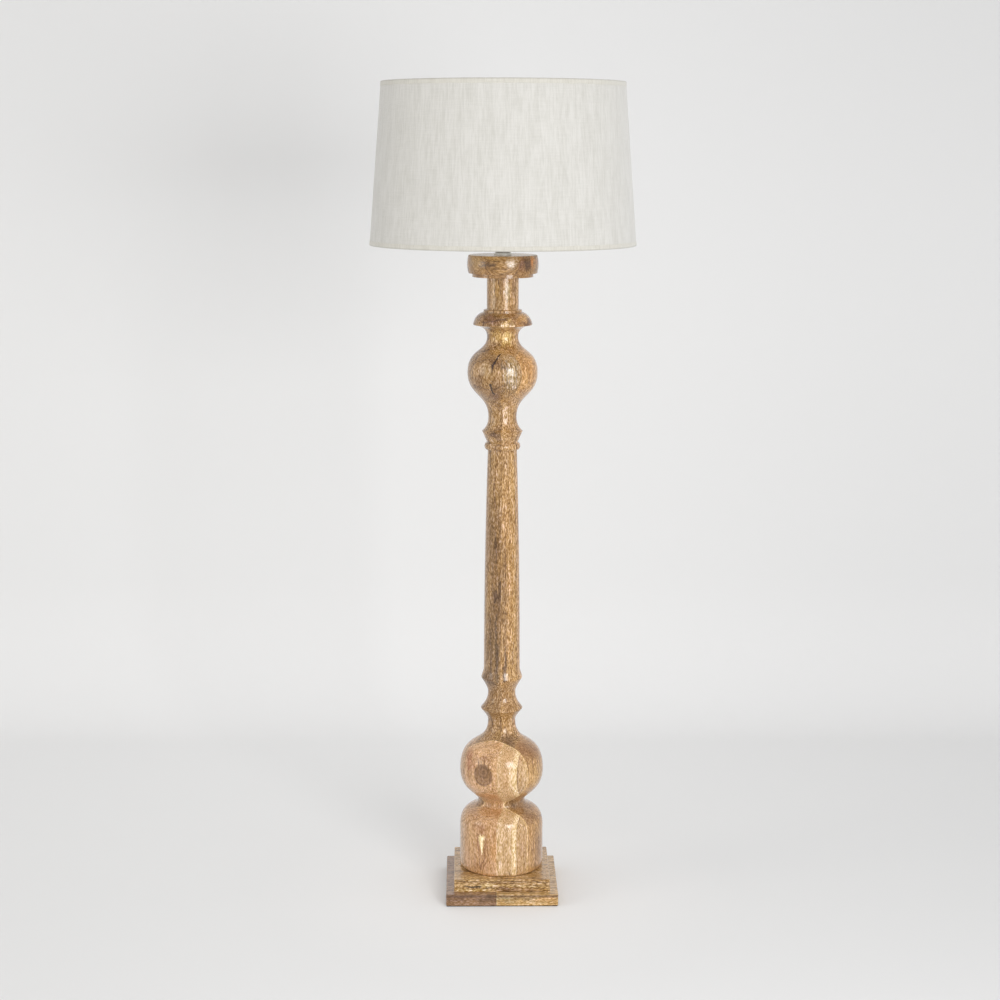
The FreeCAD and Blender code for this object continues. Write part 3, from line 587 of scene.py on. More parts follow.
def finished(nodes, name, base, mark, scale, amount, shine, spread, metallic=0.0, bump=0.00003,
             lines=None, **constants):
    """Gives CAD nodes a metal, plastic or ceramic finish, drawn out along some axes by lines.

    Lines of "round" follow a lathe's marks round the lamp's axis.
    """
    made, tree = empty_material(name)
    place = object_place(tree)
    if lines == "round":
        radius = length_of(tree, vector(tree, "MULTIPLY", place, (1, 1, 0)))
        height = add(tree, "ShaderNodeSeparateXYZ", {0: place}).outputs["Z"]
        place = add(tree, "ShaderNodeCombineXYZ", {0: radius, 2: height}).outputs[0]
    elif lines:
        place = stretched(tree, place, lines)
    laid = grouped(tree, surface, place, base=tone(*base), mark=tone(*mark), scale=scale,
                   amount=amount, shine=shine, spread=spread)
    finish_shader(made, tree, laid["Color"], laid["Roughness"], metallic,
                  bumped(tree, laid["Height"], bump), **constants)
    for node in nodes:
        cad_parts[node].material_slots[0].material = made


finished(["plinth_screws", "lower_washer", "lower_nut", "centre_tube", "top_nut",
          "terminal_screws"], "zinc_plate",
         (190, 192, 196), (150, 148, 140), 700, 0.5, 0.26, 0.25, metallic=1.0)
finished(["cord_inlet_bush"], "black_nylon", (26, 26, 27), (40, 40, 41), 1600, 0.5, 0.42, 0.15)
wood("column_dowels", 98.0, (222, 194, 154), (210, 180, 138), (170, 136, 98), (3, 2), ring=1.5,
     rings=0.2, streaks=0.1)


# ------------------------------------------------------------------ column core
# Three staves as long as the column are glued round its bore: one across the back and two
# side by side in front. They show wherever the turning is slim.
blank_turn = math.radians(21)
in_blank = (0.0, 0.0, blank_turn)
across_blank = (math.cos(blank_turn), -math.sin(blank_turn), 0.0)
into_blank = (math.sin(blank_turn), math.cos(blank_turn), 0.0)
back_joint = -8.0
front_joint = 9.7
core_front = -40.5
block_joint = 18.5
strip_joint = 54.0
patches = [
    ((40, -20, 180), (30, 40, 24), 0.8, (126, 92, 62), 0.8),
    ((30, -14, 345), (16, 30, 24), 0.9, (170, 112, 72), 0.6)]
seams = [
    (into_blank, -6.4, 1.6, (222, 186, 136), 0.6),
    (into_blank, back_joint, 0.9, (86, 56, 36), 0.9)]
wood("core_back_stave", 11.2, (206, 164, 114), (186, 140, 92), (108, 72, 44), (90, 10),
     in_blank, ring=4.5, rings=0.4, streaks=0.45, contrast=1.25, marks=(patches, (), seams))
patches = [
    ((-10, -30, 1180), (13, 40, 26), 0.9, (196, 156, 92), 0.7),
    ((-12, -38, 1128), (60, 60, 15), 0.9, (134, 94, 66), 0.6),
    ((-8, -34, 1094), (20, 40, 18), 0.9, (206, 168, 98), 0.75),
    ((-15, -34, 908), (18, 30, 7), 1.2, (92, 62, 44), 0.7),
    ((-22, -30, 700), (22, 40, 130), 1.0, (132, 102, 70), 0.75),
    ((-18, -31, 500), (26, 40, 110), 1.0, (118, 92, 64), 0.65),
    ((-26, -28, 428), (22, 40, 26), 1.0, (96, 70, 50), 0.7),
    ((-12, -31, 588), (8, 30, 50), 1.4, (92, 66, 44), 0.6),
    ((-6, -36, 318), (14, 40, 20), 1.0, (150, 114, 54), 0.6),
    ((-14, -34, 385), (30, 40, 60), 1.0, (140, 106, 68), 0.45)]
streaks = [
    ((-8, -30, 1200), (-3, -30, 1172), (1.1, 0.8), 1.0, (92, 56, 34), 0.85),
    ((-8, -30, 1200), (-15, -30, 1164), (1.1, 0.8), 1.0, (112, 72, 42), 0.7),
    ((-17, -31, 840), (-13, -31, 760), (1.0, 2.0), 3.0, (122, 88, 58), 0.7),
    ((-13, -31, 720), (-12, -31, 650), (3.0, 1.6), 4.0, (92, 66, 44), 0.6),
    ((-12, -31, 606), (-13, -31, 584), (3.6, 3.0), 4.0, (84, 58, 40), 0.7),
    ((-12, -32, 560), (-9, -33, 430), (2.4, 5.4), 6.0, (78, 58, 42), 0.65),
    ((-24, -32, 560), (-21, -33, 440), (1.6, 3.2), 4.0, (88, 64, 46), 0.6)]
wood("core_front_left_stave", 15.9, (190, 154, 108), (162, 124, 82), (82, 56, 36), (-16, 42),
     in_blank, ring=4.0, rings=0.5, streaks=0.8, contrast=1.25, marks=(patches, streaks))
patches = [
    ((6, -30, 1090), (24, 40, 20), 0.8, (232, 200, 136), 0.85),
    ((10, -38, 1128), (60, 60, 15), 0.9, (140, 98, 68), 0.5),
    # the pale grey strip at the front of the neck is a painted highlight
    ((8, -32, 1176), (8, 30, 34), 0.6, (200, 184, 154), 0.6),
    ((22, -24, 1181), (8, 30, 34), 0.9, (134, 100, 64), 0.7),
    ((2, -36, 860), (14, 30, 60), 1.2, (160, 126, 86), 0.5),
    # the pale patch on the cove below the upper ball is a painted highlight
    ((6, -34, 946), (14, 40, 26), 0.9, (226, 196, 166), 0.7),
    ((16, -32, 600), (12, 40, 150), 1.0, (204, 160, 108), 0.3),
    ((26, -52, 182), (32, 60, 24), 0.6, (130, 98, 66), 0.9),
    ((12, -42, 308), (30, 50, 24), 0.8, (112, 80, 46), 0.85),
    ((10, -36, 385), (30, 40, 60), 1.0, (148, 110, 70), 0.45),
    ((2, -36, 560), (12, 40, 150), 1.0, (124, 92, 60), 0.55)]
streaks = [
    ((5, -36, 700), (4, -36, 600), (1.0, 1.8), 3.0, (128, 92, 60), 0.7),
    ((6, -36, 500), (5, -36, 430), (1.6, 4.2), 4.0, (84, 58, 40), 0.7),
    ((13, -38, 560), (14, -38, 470), (1.0, 1.6), 2.0, (222, 176, 118), 0.7),
    ((18, -32, 860), (22, -32, 700), (0.8, 1.2), 2.0, (142, 104, 68), 0.6)]
seams = [
    (across_blank, front_joint, 0.7, (110, 78, 50), 0.2),
    (into_blank, back_joint, 0.9, (86, 56, 36), 0.9)]
wood("core_front_right_stave", 21.4, (206, 166, 114), (188, 146, 98), (100, 68, 42), (60, 20),
     in_blank, ring=4.5, rings=0.4, streaks=0.45, contrast=1.25, marks=(patches, streaks, seams))


# ------------------------------------------------------------------ lower blocks
# Blocks are glued round the core where the bell and the ball are turned from it. The left
# front one has a knot and a pale sliver, and the others are straighter and paler or browner.
def make_knot():
    """A knot: rings round its own heart, and a dark line of bark at its frayed edge."""
    tree, given = value_group(
        "knot", {"Vector": VECTOR, "Centre": VECTOR, "Reach": VECTOR},
        {"Inside": NUMBER, "Bark": NUMBER, "Rings": NUMBER})
    away = vector(tree, "DIVIDE", vector(tree, "SUBTRACT", given["Vector"], given["Centre"]),
                  given["Reach"])
    rag = plus(tree, noise(tree, away, 3.4, 4.0, 0.65), -0.5)
    far = length_of(tree, away)
    edge = plus(tree, far, times(tree, rag, 0.30))
    # the rings have their heart above the middle, and run together below it
    heart = length_of(tree, vector(tree, "SUBTRACT", away, (0.05, 0.0, 0.28)))
    turns = plus(tree, times(tree, heart, 17.0), times(tree, rag, 9.0))
    rings = maths(tree, "SINE", turns)
    rings = plus(tree, times(tree, between(tree, rings, -0.8, 1.0), 0.45),
                 between(tree, heart, 0.2, 1.1, 0.5, 0.0))
    inside = between(tree, edge, 0.84, 1.0, 1.0, 0.0)
    bark = times(tree, between(tree, edge, 0.74, 0.90), between(tree, edge, 0.94, 1.10, 1.0, 0.0))
    add(tree, "NodeGroupOutput", {"Inside": inside, "Bark": bark, "Rings": rings})
    return tree


knot = make_knot()
knot_centre = metres(-36.9, -71.5, 251.0)
knot_reach = metres(17.6, 60.0, 21.5)


def round_the_knot(tree, place):
    """The rings bulge where they pass the knot."""
    near = grouped(tree, patch, place, centre=knot_centre, reach=metres(44, 120, 60), soft=1.0,
                   ragged=0.0)
    return times(tree, near["Mask"], 3.0)


def knotted(tree, place, colour):
    laid = grouped(tree, knot, wandering(tree, place, 8), centre=knot_centre, reach=knot_reach)
    ringed = blended(tree, laid["Rings"], tone(170, 132, 100), tone(116, 84, 58))
    colour = blended(tree, laid["Inside"], colour, ringed)
    return blended(tree, times(tree, laid["Bark"], 0.6), colour, tone(112, 78, 52))


patches = [
    ((-64, -44, 276), (16, 60, 28), 1.2, (172, 114, 84), 0.7),
    ((-40, -50, 284), (18, 60, 14), 1.0, (236, 192, 158), 0.8),
    ((-62, -44, 166), (20, 60, 16), 1.0, (164, 122, 92), 0.6),
    ((-52, -60, 226), (24, 60, 24), 0.9, (230, 186, 154), 0.6),
    ((-34, -62, 280), (22, 60, 10), 1.6, (140, 96, 62), 0.65),
    ((0, -78, 262), (18, 60, 24), 0.9, (204, 160, 114), 0.5),
    ((-22, -70, 205), (34, 60, 12), 1.0, (192, 134, 90), 0.55),
    ((-10, -60, 176), (44, 60, 16), 1.0, (176, 126, 84), 0.45),
    ((-42, -68, 146), (24, 60, 13), 1.1, (160, 114, 78), 0.7),
    ((-40, -68, 118), (18, 60, 44), 0.9, (164, 120, 88), 0.7),
    ((-60, -60, 118), (12, 60, 44), 0.9, (224, 182, 144), 0.55),
    ((-14, -76, 108), (12, 60, 50), 0.9, (208, 156, 104), 0.55),
    ((-38, -68, 68), (20, 60, 16), 1.3, (164, 116, 78), 0.6)]
streaks = [
    ((-53, -68, 268), (-57, -62, 284), (1.2, 0.5), 1.2, (120, 74, 48), 0.8),
    ((-46, -68, 270), (-46, -62, 284), (1.6, 0.5), 1.2, (108, 68, 42), 0.85),
    ((-40, -70, 270), (-41, -62, 288), (1.6, 0.5), 1.2, (112, 72, 44), 0.8),
    ((-34, -72, 270), (-32, -64, 286), (1.6, 0.5), 1.2, (116, 76, 48), 0.8),
    ((-27, -74, 268), (-23, -66, 282), (1.4, 0.5), 1.2, (122, 80, 52), 0.8),
    ((-22, -76, 262), (-16, -70, 274), (1.0, 0.5), 1.2, (140, 98, 66), 0.7),
    ((-48, -66, 132), (-45, -66, 84), (1.6, 1.0), 2.0, (140, 96, 64), 0.7),
    ((-30, -72, 130), (-35, -72, 84), (1.4, 1.0), 2.0, (140, 96, 64), 0.7),
    ((-45, -68, 84), (-40, -69, 62), (1.2, 1.6), 1.4, (118, 78, 52), 0.75),
    ((-34, -71, 86), (-40, -69, 66), (1.2, 1.4), 1.4, (122, 82, 54), 0.75),
    ((-25, -74, 94), (-38, -72, 58), (1.2, 1.4), 1.6, (142, 100, 68), 0.65),
    ((-66, -44, 292), (-52, -58, 262), (1.6, 1.0), 2.0, (142, 86, 56), 0.7),
    ((-54, -44, 300), (-46, -58, 274), (1.4, 1.0), 2.0, (150, 94, 62), 0.6),
    ((-68, -40, 282), (-62, -52, 240), (1.4, 1.0), 2.0, (152, 96, 64), 0.65),
    ((-39.5, -71, 126), (-38.8, -71, 93), (9.0, 1.0), 2.6, (252, 230, 194), 1),
    ((-39.5, -71, 138), (-39.5, -71, 130), (3.0, 1.6), 1.0, (168, 122, 84), 1)]
seams = [
    (across_blank, block_joint, 2.2, (230, 194, 152), 0.18),
    (into_blank, core_front, 1.4, (238, 208, 164), 0.6)]
wood("lower_front_left_block", 26.5, (224, 184, 148), (204, 160, 122), (120, 80, 54), (-14, 20),
     (0.05, 0.04, blank_turn), ring=5.5, rings=0.5, streaks=0.3, contrast=0.72,
     swirl=round_the_knot,
     inlay=knotted, marks=(patches, streaks, seams))
patches = [
    ((12, -62, 286), (24, 60, 20), 1.0, (198, 154, 106), 0.6),
    ((8, -70, 240), (20, 70, 50), 1.0, (212, 170, 132), 0.5),
    ((20, -62, 250), (14, 60, 34), 0.9, (238, 208, 176), 0.6),
    ((14, -74, 158), (22, 60, 12), 1.0, (190, 150, 106), 0.5)]
streaks = [
    ((14, -74, 60), (17, -74, 52), (1.4, 2.4), 1.6, (92, 62, 42), 0.8)]
seams = [
    (across_blank, 50.0, 6.4, (244, 216, 182), 0.8),
    (across_blank, strip_joint, 0.7, (150, 108, 72), 0.7),
    (into_blank, core_front, 1.8, (244, 214, 168), 0.85)]
wood("lower_front_right_block", 31.8, (226, 194, 162), (208, 172, 134), (142, 106, 78),
     (190, -60), in_blank, ring=3.4, rings=0.35, streaks=0.2, contrast=0.72,
     marks=(patches, streaks, seams))
wood("lower_back_block", 36.1, (212, 170, 126), (188, 146, 104), (112, 78, 50), (10, 40),
     in_blank, ring=5.5, rings=0.5, streaks=0.4)
wood("lower_left_block", 41.6, (208, 168, 128), (182, 142, 104), (104, 74, 50), (-190, 30),
     in_blank, ring=4.5, streaks=0.4)
patches = [
    ((52, -46, 292), (34, 60, 24), 1.0, (142, 98, 62), 0.7),
    ((62, -40, 240), (30, 60, 34), 0.9, (212, 172, 118), 0.6),
    ((50, -40, 178), (40, 60, 18), 0.9, (134, 100, 70), 0.8),
    ((58, -54, 158), (34, 60, 16), 1.0, (142, 104, 72), 0.7),
    ((74, -44, 96), (12, 60, 40), 1.1, (134, 96, 66), 0.5),
    ((54, -56, 70), (18, 60, 26), 1.0, (220, 180, 140), 0.5)]
streaks = [
    ((48, -60, 300), (50, -62, 262), (1.4, 1.0), 2.4, (116, 76, 48), 0.7),
    ((58, -50, 296), (61, -52, 250), (1.6, 1.0), 2.4, (110, 74, 46), 0.7),
    ((67, -40, 286), (70, -40, 246), (1.4, 1.0), 2.4, (128, 90, 58), 0.6),
    ((60, -52, 140), (62, -52, 70), (1.2, 1.2), 2.4, (134, 94, 62), 0.55)]
wood("lower_right_block", 47.3, (206, 164, 114), (178, 134, 88), (102, 66, 40), (20, 15),
     (0.0, 0.05, blank_turn), ring=5.0, rings=0.5, streaks=0.55, contrast=0.8,
     marks=(patches, streaks))


# ------------------------------------------------------------------ corner strips
# Narrow browner strips fill the corners of that square blank, so that each shows on the ball
# and the bell as an upright strip with a pale edge.
wood("front_left_corner_strip", 52.9, (208, 170, 132), (186, 146, 108), (112, 78, 52),
     (-40, -160), in_blank, ring=3.6, streaks=0.35)
seams = [
    (across_blank, strip_joint, 1.2, (120, 84, 56), 0.6),
    (into_blank, -42.4, 2.8, (232, 196, 150), 0.7),
    (into_blank, core_front, 0.9, (130, 92, 60), 0.6)]
patches = [
    ((42, -64, 287), (30, 60, 20), 0.8, (180, 134, 90), 0.9),
    ((50, -66, 110), (30, 60, 50), 0.5, (178, 134, 96), 0.4)]
wood("front_right_corner_strip", 57.2, (222, 188, 152), (200, 164, 128), (122, 88, 62),
     (40, -170), in_blank, ring=3.6, streaks=0.4, contrast=0.8, marks=(patches, (), seams))
wood("back_left_corner_strip", 61.4, (206, 166, 124), (182, 142, 102), (112, 78, 52),
     (-40, 170), in_blank, ring=3.6, streaks=0.4)
wood("back_right_corner_strip", 66.8, (208, 168, 122), (184, 144, 100), (112, 76, 48),
     (40, 170), in_blank, ring=3.6, streaks=0.4)


# ------------------------------------------------------------------ upper blocks
# Four more blocks fill out the core for the upper ball and the saucer above it. The front
# one is grey-brown, with grey stripes and a long drying crack that the lacquer has filled.
patches = [
    ((-30, -50, 1034), (14, 60, 26), 0.9, (186, 156, 118), 0.6),
    ((-46, -40, 1012), (16, 60, 26), 1.0, (136, 104, 74), 0.7),
    ((-14, -56, 1006), (14, 60, 24), 1.0, (128, 96, 66), 0.6),
    ((-16, -56, 1050), (24, 60, 9), 1.0, (122, 86, 52), 0.6),
    # the pale patch at the front right of the upper ball is grey wood lightened by a painted
    # highlight
    ((16, -60, 1026), (20, 60, 40), 0.8, (222, 202, 178), 0.85),
    ((-16, -60, 984), (22, 60, 16), 1.2, (116, 82, 62), 0.75),
    ((-26, -48, 1128), (34, 70, 12), 1.2, (120, 80, 60), 0.7),
    # the near-white patch on the saucer's lower rim is a painted highlight
    ((10, -44, 1116), (28, 60, 9), 1.0, (246, 216, 182), 0.95),
    ((4, -40, 1072), (40, 60, 12), 1.0, (214, 170, 108), 0.7)]
grey_stripes = ((-3, 1052, 985), (1.5, 1046, 976), (6, 1052, 980), (10.5, 1042, 972),
                (15, 1048, 984), (19.5, 1036, 978), (24, 1042, 990))
streaks = [
    ((-6, -52, 1062), (-20, -60, 1044), (1.3, 2.3), 2.4, (44, 18, 12), 1),
    ((-20, -60, 1044), (-24, -58, 1030), (2.3, 1.4), 2.0, (52, 24, 16), 0.95),
    ((-24, -58, 1030), (-22, -58, 1008), (1.4, 1.2), 1.4, (70, 44, 30), 0.7),
    ((-25, -57, 1006), (-16, -51, 988), (3.4, 2.2), 3.0, (38, 20, 18), 0.9),
    ((-40, -44, 1122), (4, -56, 1128), (1.6, 2.0), 3.0, (82, 52, 38), 0.7),
    ((-4, -54, 1118), (20, -46, 1130), (2.4, 3.0), 2.4, (234, 200, 158), 0.85)]
streaks += [((x, -60, top), (x + 1.4, -60, foot), (1.5, 1.1), 1.6, (104, 88, 72), 0.65)
            for x, top, foot in grey_stripes]
wood("upper_front_block", 72.5, (196, 160, 116), (166, 128, 84), (80, 54, 36), (6, 60),
     in_blank, ring=4.2, rings=0.5, streaks=0.6, contrast=1.15, marks=(patches, streaks))
wood("upper_back_block", 77.7, (200, 162, 116), (174, 134, 92), (92, 62, 42), (4, -60),
     in_blank, ring=4.2, rings=0.5, streaks=0.5)
wood("upper_left_block", 83.2, (180, 146, 104), (150, 116, 78), (80, 56, 38), (-170, 20),
     in_blank, ring=4.2, streaks=0.5)
patches = [
    ((48, -30, 1120), (34, 60, 12), 1.0, (104, 66, 42), 0.85),
    ((38, -40, 985), (24, 60, 14), 1.0, (176, 136, 98), 0.6),
    ((50, -24, 1040), (14, 60, 30), 1.0, (226, 168, 100), 0.5)]
streaks = [
    ((30, -50, 1036), (34, -46, 990), (1.2, 0.9), 1.5, (134, 90, 56), 0.7),
    ((42, -40, 1044), (46, -36, 996), (1.0, 0.9), 1.5, (150, 102, 62), 0.6)]
wood("upper_right_block", 88.6, (218, 174, 120), (198, 148, 92), (112, 72, 40), (160, -20),
     in_blank, ring=3.8, rings=0.5, streaks=0.6, marks=(patches, streaks))


# ------------------------------------------------------------------ cap
# A turned disc closes the top of the column. Its grain lies across, so that streaks run
# round the band, and a tenon on the core holds it.
patches = [
    ((-52, -44, 1232), (18, 60, 24), 0.8, (196, 164, 124), 0.75),
    ((-28, -58, 1228), (20, 60, 16), 1.2, (104, 72, 36), 0.65),
    ((-16, -60, 1244), (32, 60, 7), 1.2, (180, 140, 76), 0.6),
    # the pale pink-grey patch at the front right of the band is a painted highlight
    ((14, -62, 1232), (15, 60, 16), 0.8, (216, 194, 178), 0.75),
    ((33, -58, 1232), (9, 60, 26), 0.9, (134, 94, 76), 0.7),
    ((46, -50, 1232), (12, 60, 26), 0.9, (86, 54, 32), 0.85),
    ((56, -36, 1233), (6, 60, 16), 1.0, (214, 140, 78), 0.85)]
streaks = [
    ((-46, -50, 1227), (-18, -62, 1229), (2.0, 4.0), 4, (78, 52, 32), 0.55),
    ((-34, -56, 1240), (-8, -64, 1236), (1.4, 2.2), 3, (90, 60, 38), 0.5),
    ((-20, -62, 1221), (8, -65, 1223), (1.4, 1.8), 3, (90, 60, 38), 0.5),
    ((-56, -50, 1236), (-30, -62, 1234), (1.0, 1.4), 2, (96, 64, 40), 0.6)]
wood("cap_disc", 93.1, (190, 150, 102), (156, 116, 72), (74, 46, 26), (1200, 40), lying,
     ring=4.0, rings=0.5, streaks=0.8, contrast=0.8, marks=(patches, streaks))


# ------------------------------------------------------------------ dome plate
# A shallow domed plate of spun brass, plated in satin nickel, covers the tube's hole in the
# cap and carries the lampholder.
finished(["dome_plate"], "satin_nickel_plate", (228, 227, 222), (200, 198, 190), 1600, 0.5,
         0.42, 0.12, metallic=1.0, lines="round")


# ------------------------------------------------------------------ lampholder
# An E27 holder: a nickel-plated cup and threaded sleeve, with a grooved nickel ring that
# clamps the shade. A glazed insert holds the brass shell, contacts and screws, and the
# switch's black housing has a push-through bar.
finished(["holder_cup", "holder_sleeve", "shade_ring"], "bright_nickel_plate", (210, 208, 202),
         (178, 174, 164), 1500, 0.5, 0.16, 0.14, metallic=1.0, lines="round")
finished(["holder_insert"], "glazed_porcelain", (238, 234, 224), (216, 208, 194), 420, 0.5,
         0.10, 0.12, coat_weight=0.6, coat_roughness=0.06)
finished(["socket_shell", "shell_contact", "centre_contact", "terminal_blocks"],
         "pressed_brass", (206, 168, 92), (164, 122, 62), 800, 0.6, 0.22, 0.25, metallic=1.0)
finished(["switch_housing"], "black_phenolic", (24, 23, 23), (42, 40, 38), 1100, 0.5, 0.30, 0.2)
finished(["switch_bar"], "black_bar_plastic", (32, 31, 31), (48, 47, 46), 1400, 0.5, 0.36, 0.15)


# ------------------------------------------------------------------ bulb
# An opal bulb with a rolled aluminium cap: the thread, a glass insulator, the solder contact
# at its foot, and a white plastic collar round the globe's neck.
finished(["bulb_cap"], "rolled_aluminium", (204, 205, 206), (160, 160, 158), 1000, 0.5, 0.26,
         0.22, metallic=1.0, lines="round")
finished(["bulb_contact"], "solder", (176, 176, 174), (130, 130, 128), 1500, 0.6, 0.34, 0.25,
         metallic=1.0)
finished(["bulb_insulator"], "black_vitrite", (18, 17, 20), (34, 30, 40), 900, 0.5, 0.14, 0.12)
finished(["bulb_collar"], "white_moulding", (240, 240, 237), (226, 226, 222), 1500, 0.4, 0.34,
         0.12)
finished(["bulb_globe"], "opal_glass", (248, 247, 243), (238, 237, 230), 60, 0.5, 0.12, 0.08,
         bump=0.00001, coat_weight=0.4, coat_roughness=0.08)


# ------------------------------------------------------------------ shade frame
# Two rings of steel wire, three spokes and a flat fitter ring, welded together and powder
# coated white. The coat has a faint orange-peel skin.
finished(["top_wire_ring", "bottom_wire_ring", "spider_spokes", "fitter_ring"],
         "white_powder_coat", (236, 235, 230), (220, 218, 211), 1300, 0.5, 0.36, 0.14,
         bump=0.00006)


# ------------------------------------------------------------------ shade lining
# The drum's inside is smooth white styrene sheet, rolled to a cone. Its calendered face has
# a faint upright streak.
finished(["shade_lining"], "styrene_sheet", (240, 239, 234), (231, 229, 222), 240, 0.6, 0.42,
         0.1, bump=0.00002, lines=(1, 1, 0.1))


# ------------------------------------------------------------------ shade linen
# Natural off-white linen is laminated to the lining. It is one cut piece, rolled to a cone,
# and its ends lap by 12 mm at the back. Uneven threads make slubs both ways.
shade_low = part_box("bottom_hem")[0].z
shade_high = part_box("top_hem")[1].z
rim_low_radius = 0.2494
rim_high_radius = 0.2263
linen_thick = 0.0005
linen_inset = 0.0006
linen_lap = 0.012
lap_rise = 0.008
lap_lift = 0.00055
linen_middle = (rim_low_radius + rim_high_radius) / 2
round_steps = 360
up_steps = 24


def cone_radius(height):
    share = (height - shade_low) / (shade_high - shade_low)
    return rim_low_radius + (rim_high_radius - rim_low_radius) * share


def lifted(arc):
    """How far the cloth stands off the cone where it lies on its own other end."""
    start = 2 * math.pi * linen_middle - lap_rise
    share = min(max((arc - start) / lap_rise, 0.0), 1.0)
    return lap_lift * share * share * (3 - 2 * share)


def waved(angle, height):
    """A slow unevenness of the hand-rolled cone."""
    return (0.00010 * math.sin(7 * angle + 1.3) + 0.00006 * math.sin(13 * angle + 21 * height)
            + 0.00004 * math.sin(31 * angle + 47 * height))


def cloth_mesh(name, rows, arcs, lengths, round_again):
    """A closed mesh from rows of points, each row once round the cloth's section.

    The map is in metres: arcs go round the shade, and lengths along the section.
    """
    made = bpy.data.meshes.new(name)
    count = len(rows[0])
    faces, corners = [], []
    last = len(rows) if round_again else len(rows) - 1
    for i in range(last):
        k = (i + 1) % len(rows)
        for j in range(count):
            n = (j + 1) % count
            faces.append((i * count + j, k * count + j, k * count + n, i * count + n))
            corners += [(arcs[i], lengths[j]), (arcs[i + 1], lengths[j]),
                        (arcs[i + 1], lengths[n]), (arcs[i], lengths[n])]
    if not round_again:
        for i in (0, len(rows) - 1):
            for j in range(count // 2 - 1):
                ring = (j, j + 1, count - 2 - j, count - 1 - j)
                faces.append(tuple(i * count + k for k in ring))
                corners += [(arcs[i], lengths[k]) for k in ring]
    made.from_pydata([point for row in rows for point in row], [], faces)
    layer = made.uv_layers.new(name="cloth_map")
    for loop, corner in enumerate(corners):
        layer.data[loop].uv = corner
    shape = bmesh.new()
    shape.from_mesh(made)
    bmesh.ops.recalc_face_normals(shape, faces=shape.faces)
    shape.to_mesh(made)
    shape.free()
    made.shade_smooth()
    made.set_sharp_from_angle(angle=math.radians(50))
    return made


thread_pitch = 0.0009
thread_drift = 0.0009


def make_plain_weave():
    """Cloth woven one over one under, on a map in metres, with slubs along both threads."""
    tree, given = value_group(
        "plain_weave", {"Vector": VECTOR, "Pale": COLOUR, "Deep": COLOUR, "Slubs": NUMBER},
        {"Color": COLOUR, "Height": NUMBER})
    drift = shaken(tree, given["Vector"], 180.0, 2.0, 0.5, thread_drift)
    cell = vector(tree, "DIVIDE", vector(tree, "ADD", given["Vector"], drift),
                  (thread_pitch,) * 3)
    waves = []
    wholes = []
    parts = add(tree, "ShaderNodeSeparateXYZ", {0: cell})
    for axis in ("X", "Y"):
        turned = maths(tree, "SINE", times(tree, parts.outputs[axis], math.pi))
        waves.append(maths(tree, "ABSOLUTE", turned))
        wholes.append(maths(tree, "FLOOR", parts.outputs[axis]))
    over = maths(tree, "FLOORED_MODULO", plus(tree, wholes[0], wholes[1]), 2.0)
    thread = add(tree, "ShaderNodeMix", {0: over, 2: waves[0], 3: waves[1]}).outputs[0]
    upright_slubs = noise(tree, stretched(tree, given["Vector"], (1, 0.09, 1)), 300, 3.0, 0.65)
    level_slubs = noise(tree, stretched(tree, given["Vector"], (0.06, 1, 1)), 420, 2.0, 0.6)
    broad = noise(tree, stretched(tree, given["Vector"], (1, 0.2, 1)), 60, 2.0)
    cloud = plus(tree, times(tree, between(tree, upright_slubs, 0.32, 0.68), 0.5),
                 plus(tree, times(tree, between(tree, level_slubs, 0.3, 0.7), 0.2),
                      times(tree, between(tree, broad, 0.3, 0.7), 0.3)))
    # cloud is about one half, so this is a share near 0.8 that slubs raise and lower
    share = plus(tree, times(tree, plus(tree, cloud, -0.5), given["Slubs"]),
                 plus(tree, times(tree, thread, 0.3), 0.55))
    height = plus(tree, thread, times(tree, upright_slubs, 0.8))
    add(tree, "NodeGroupOutput", {"Color": blended(tree, share, given["Deep"], given["Pale"]),
                                  "Height": height})
    return tree


plain_weave = make_plain_weave()


def cloth_material(name, pale, deep, slubs, shaded_rims=(), rim_shade_width=0.0012, rim_shade_share=0.0,
                   rim_shade_tone=(0, 0, 0)):
    """Linen. Near the given heights, painted shade darkens the folded edge."""
    made, tree = empty_material(name)
    cloth_map = add(tree, "ShaderNodeUVMap", uv_map="cloth_map").outputs["UV"]
    laid = grouped(tree, plain_weave, cloth_map, pale=tone(*pale), deep=tone(*deep), slubs=slubs)
    colour = laid["Color"]
    for height in shaded_rims:
        near = grouped(tree, seam, object_place(tree), normal=facing_up, offset=height,
                       width=rim_shade_width)
        colour = blended(tree, times(tree, near["Mask"], rim_shade_share), colour, tone(*rim_shade_tone))
    return finish_shader(made, tree, colour, 0.88,
                         normal=bumped(tree, laid["Height"], 0.00025, 0.6),
                         sheen_weight=0.5, sheen_roughness=0.5, specular_ior_level=0.2)


linen_low = shade_low + linen_inset
linen_high = shade_high - linen_inset
linen_arc = 2 * math.pi * linen_middle + linen_lap
first_angle = math.pi / 2 - linen_lap / linen_middle / 2
rows, arcs = [], []
for step in range(round_steps + 1):
    arc = linen_arc * step / round_steps
    angle = first_angle + arc / linen_middle
    arcs.append(arc)
    heights = [linen_low + (linen_high - linen_low) * k / up_steps for k in range(up_steps + 1)]
    outside = [(cone_radius(z) + lifted(arc) + waved(angle, z), z) for z in heights]
    inside = [(radius - linen_thick, z) for radius, z in reversed(outside)]
    rows.append([(radius * math.cos(angle), radius * math.sin(angle), z)
                 for radius, z in outside + inside])
lengths = [z - linen_low for z in heights] + [z - linen_low for z in reversed(heights)]
linen = new_piece("linen_cover", cloth_mesh("linen_cover", rows, arcs, lengths, False))
linen.data.materials.append(cloth_material("natural_linen", (220, 218, 213), (188, 186, 177),
                                           0.7))


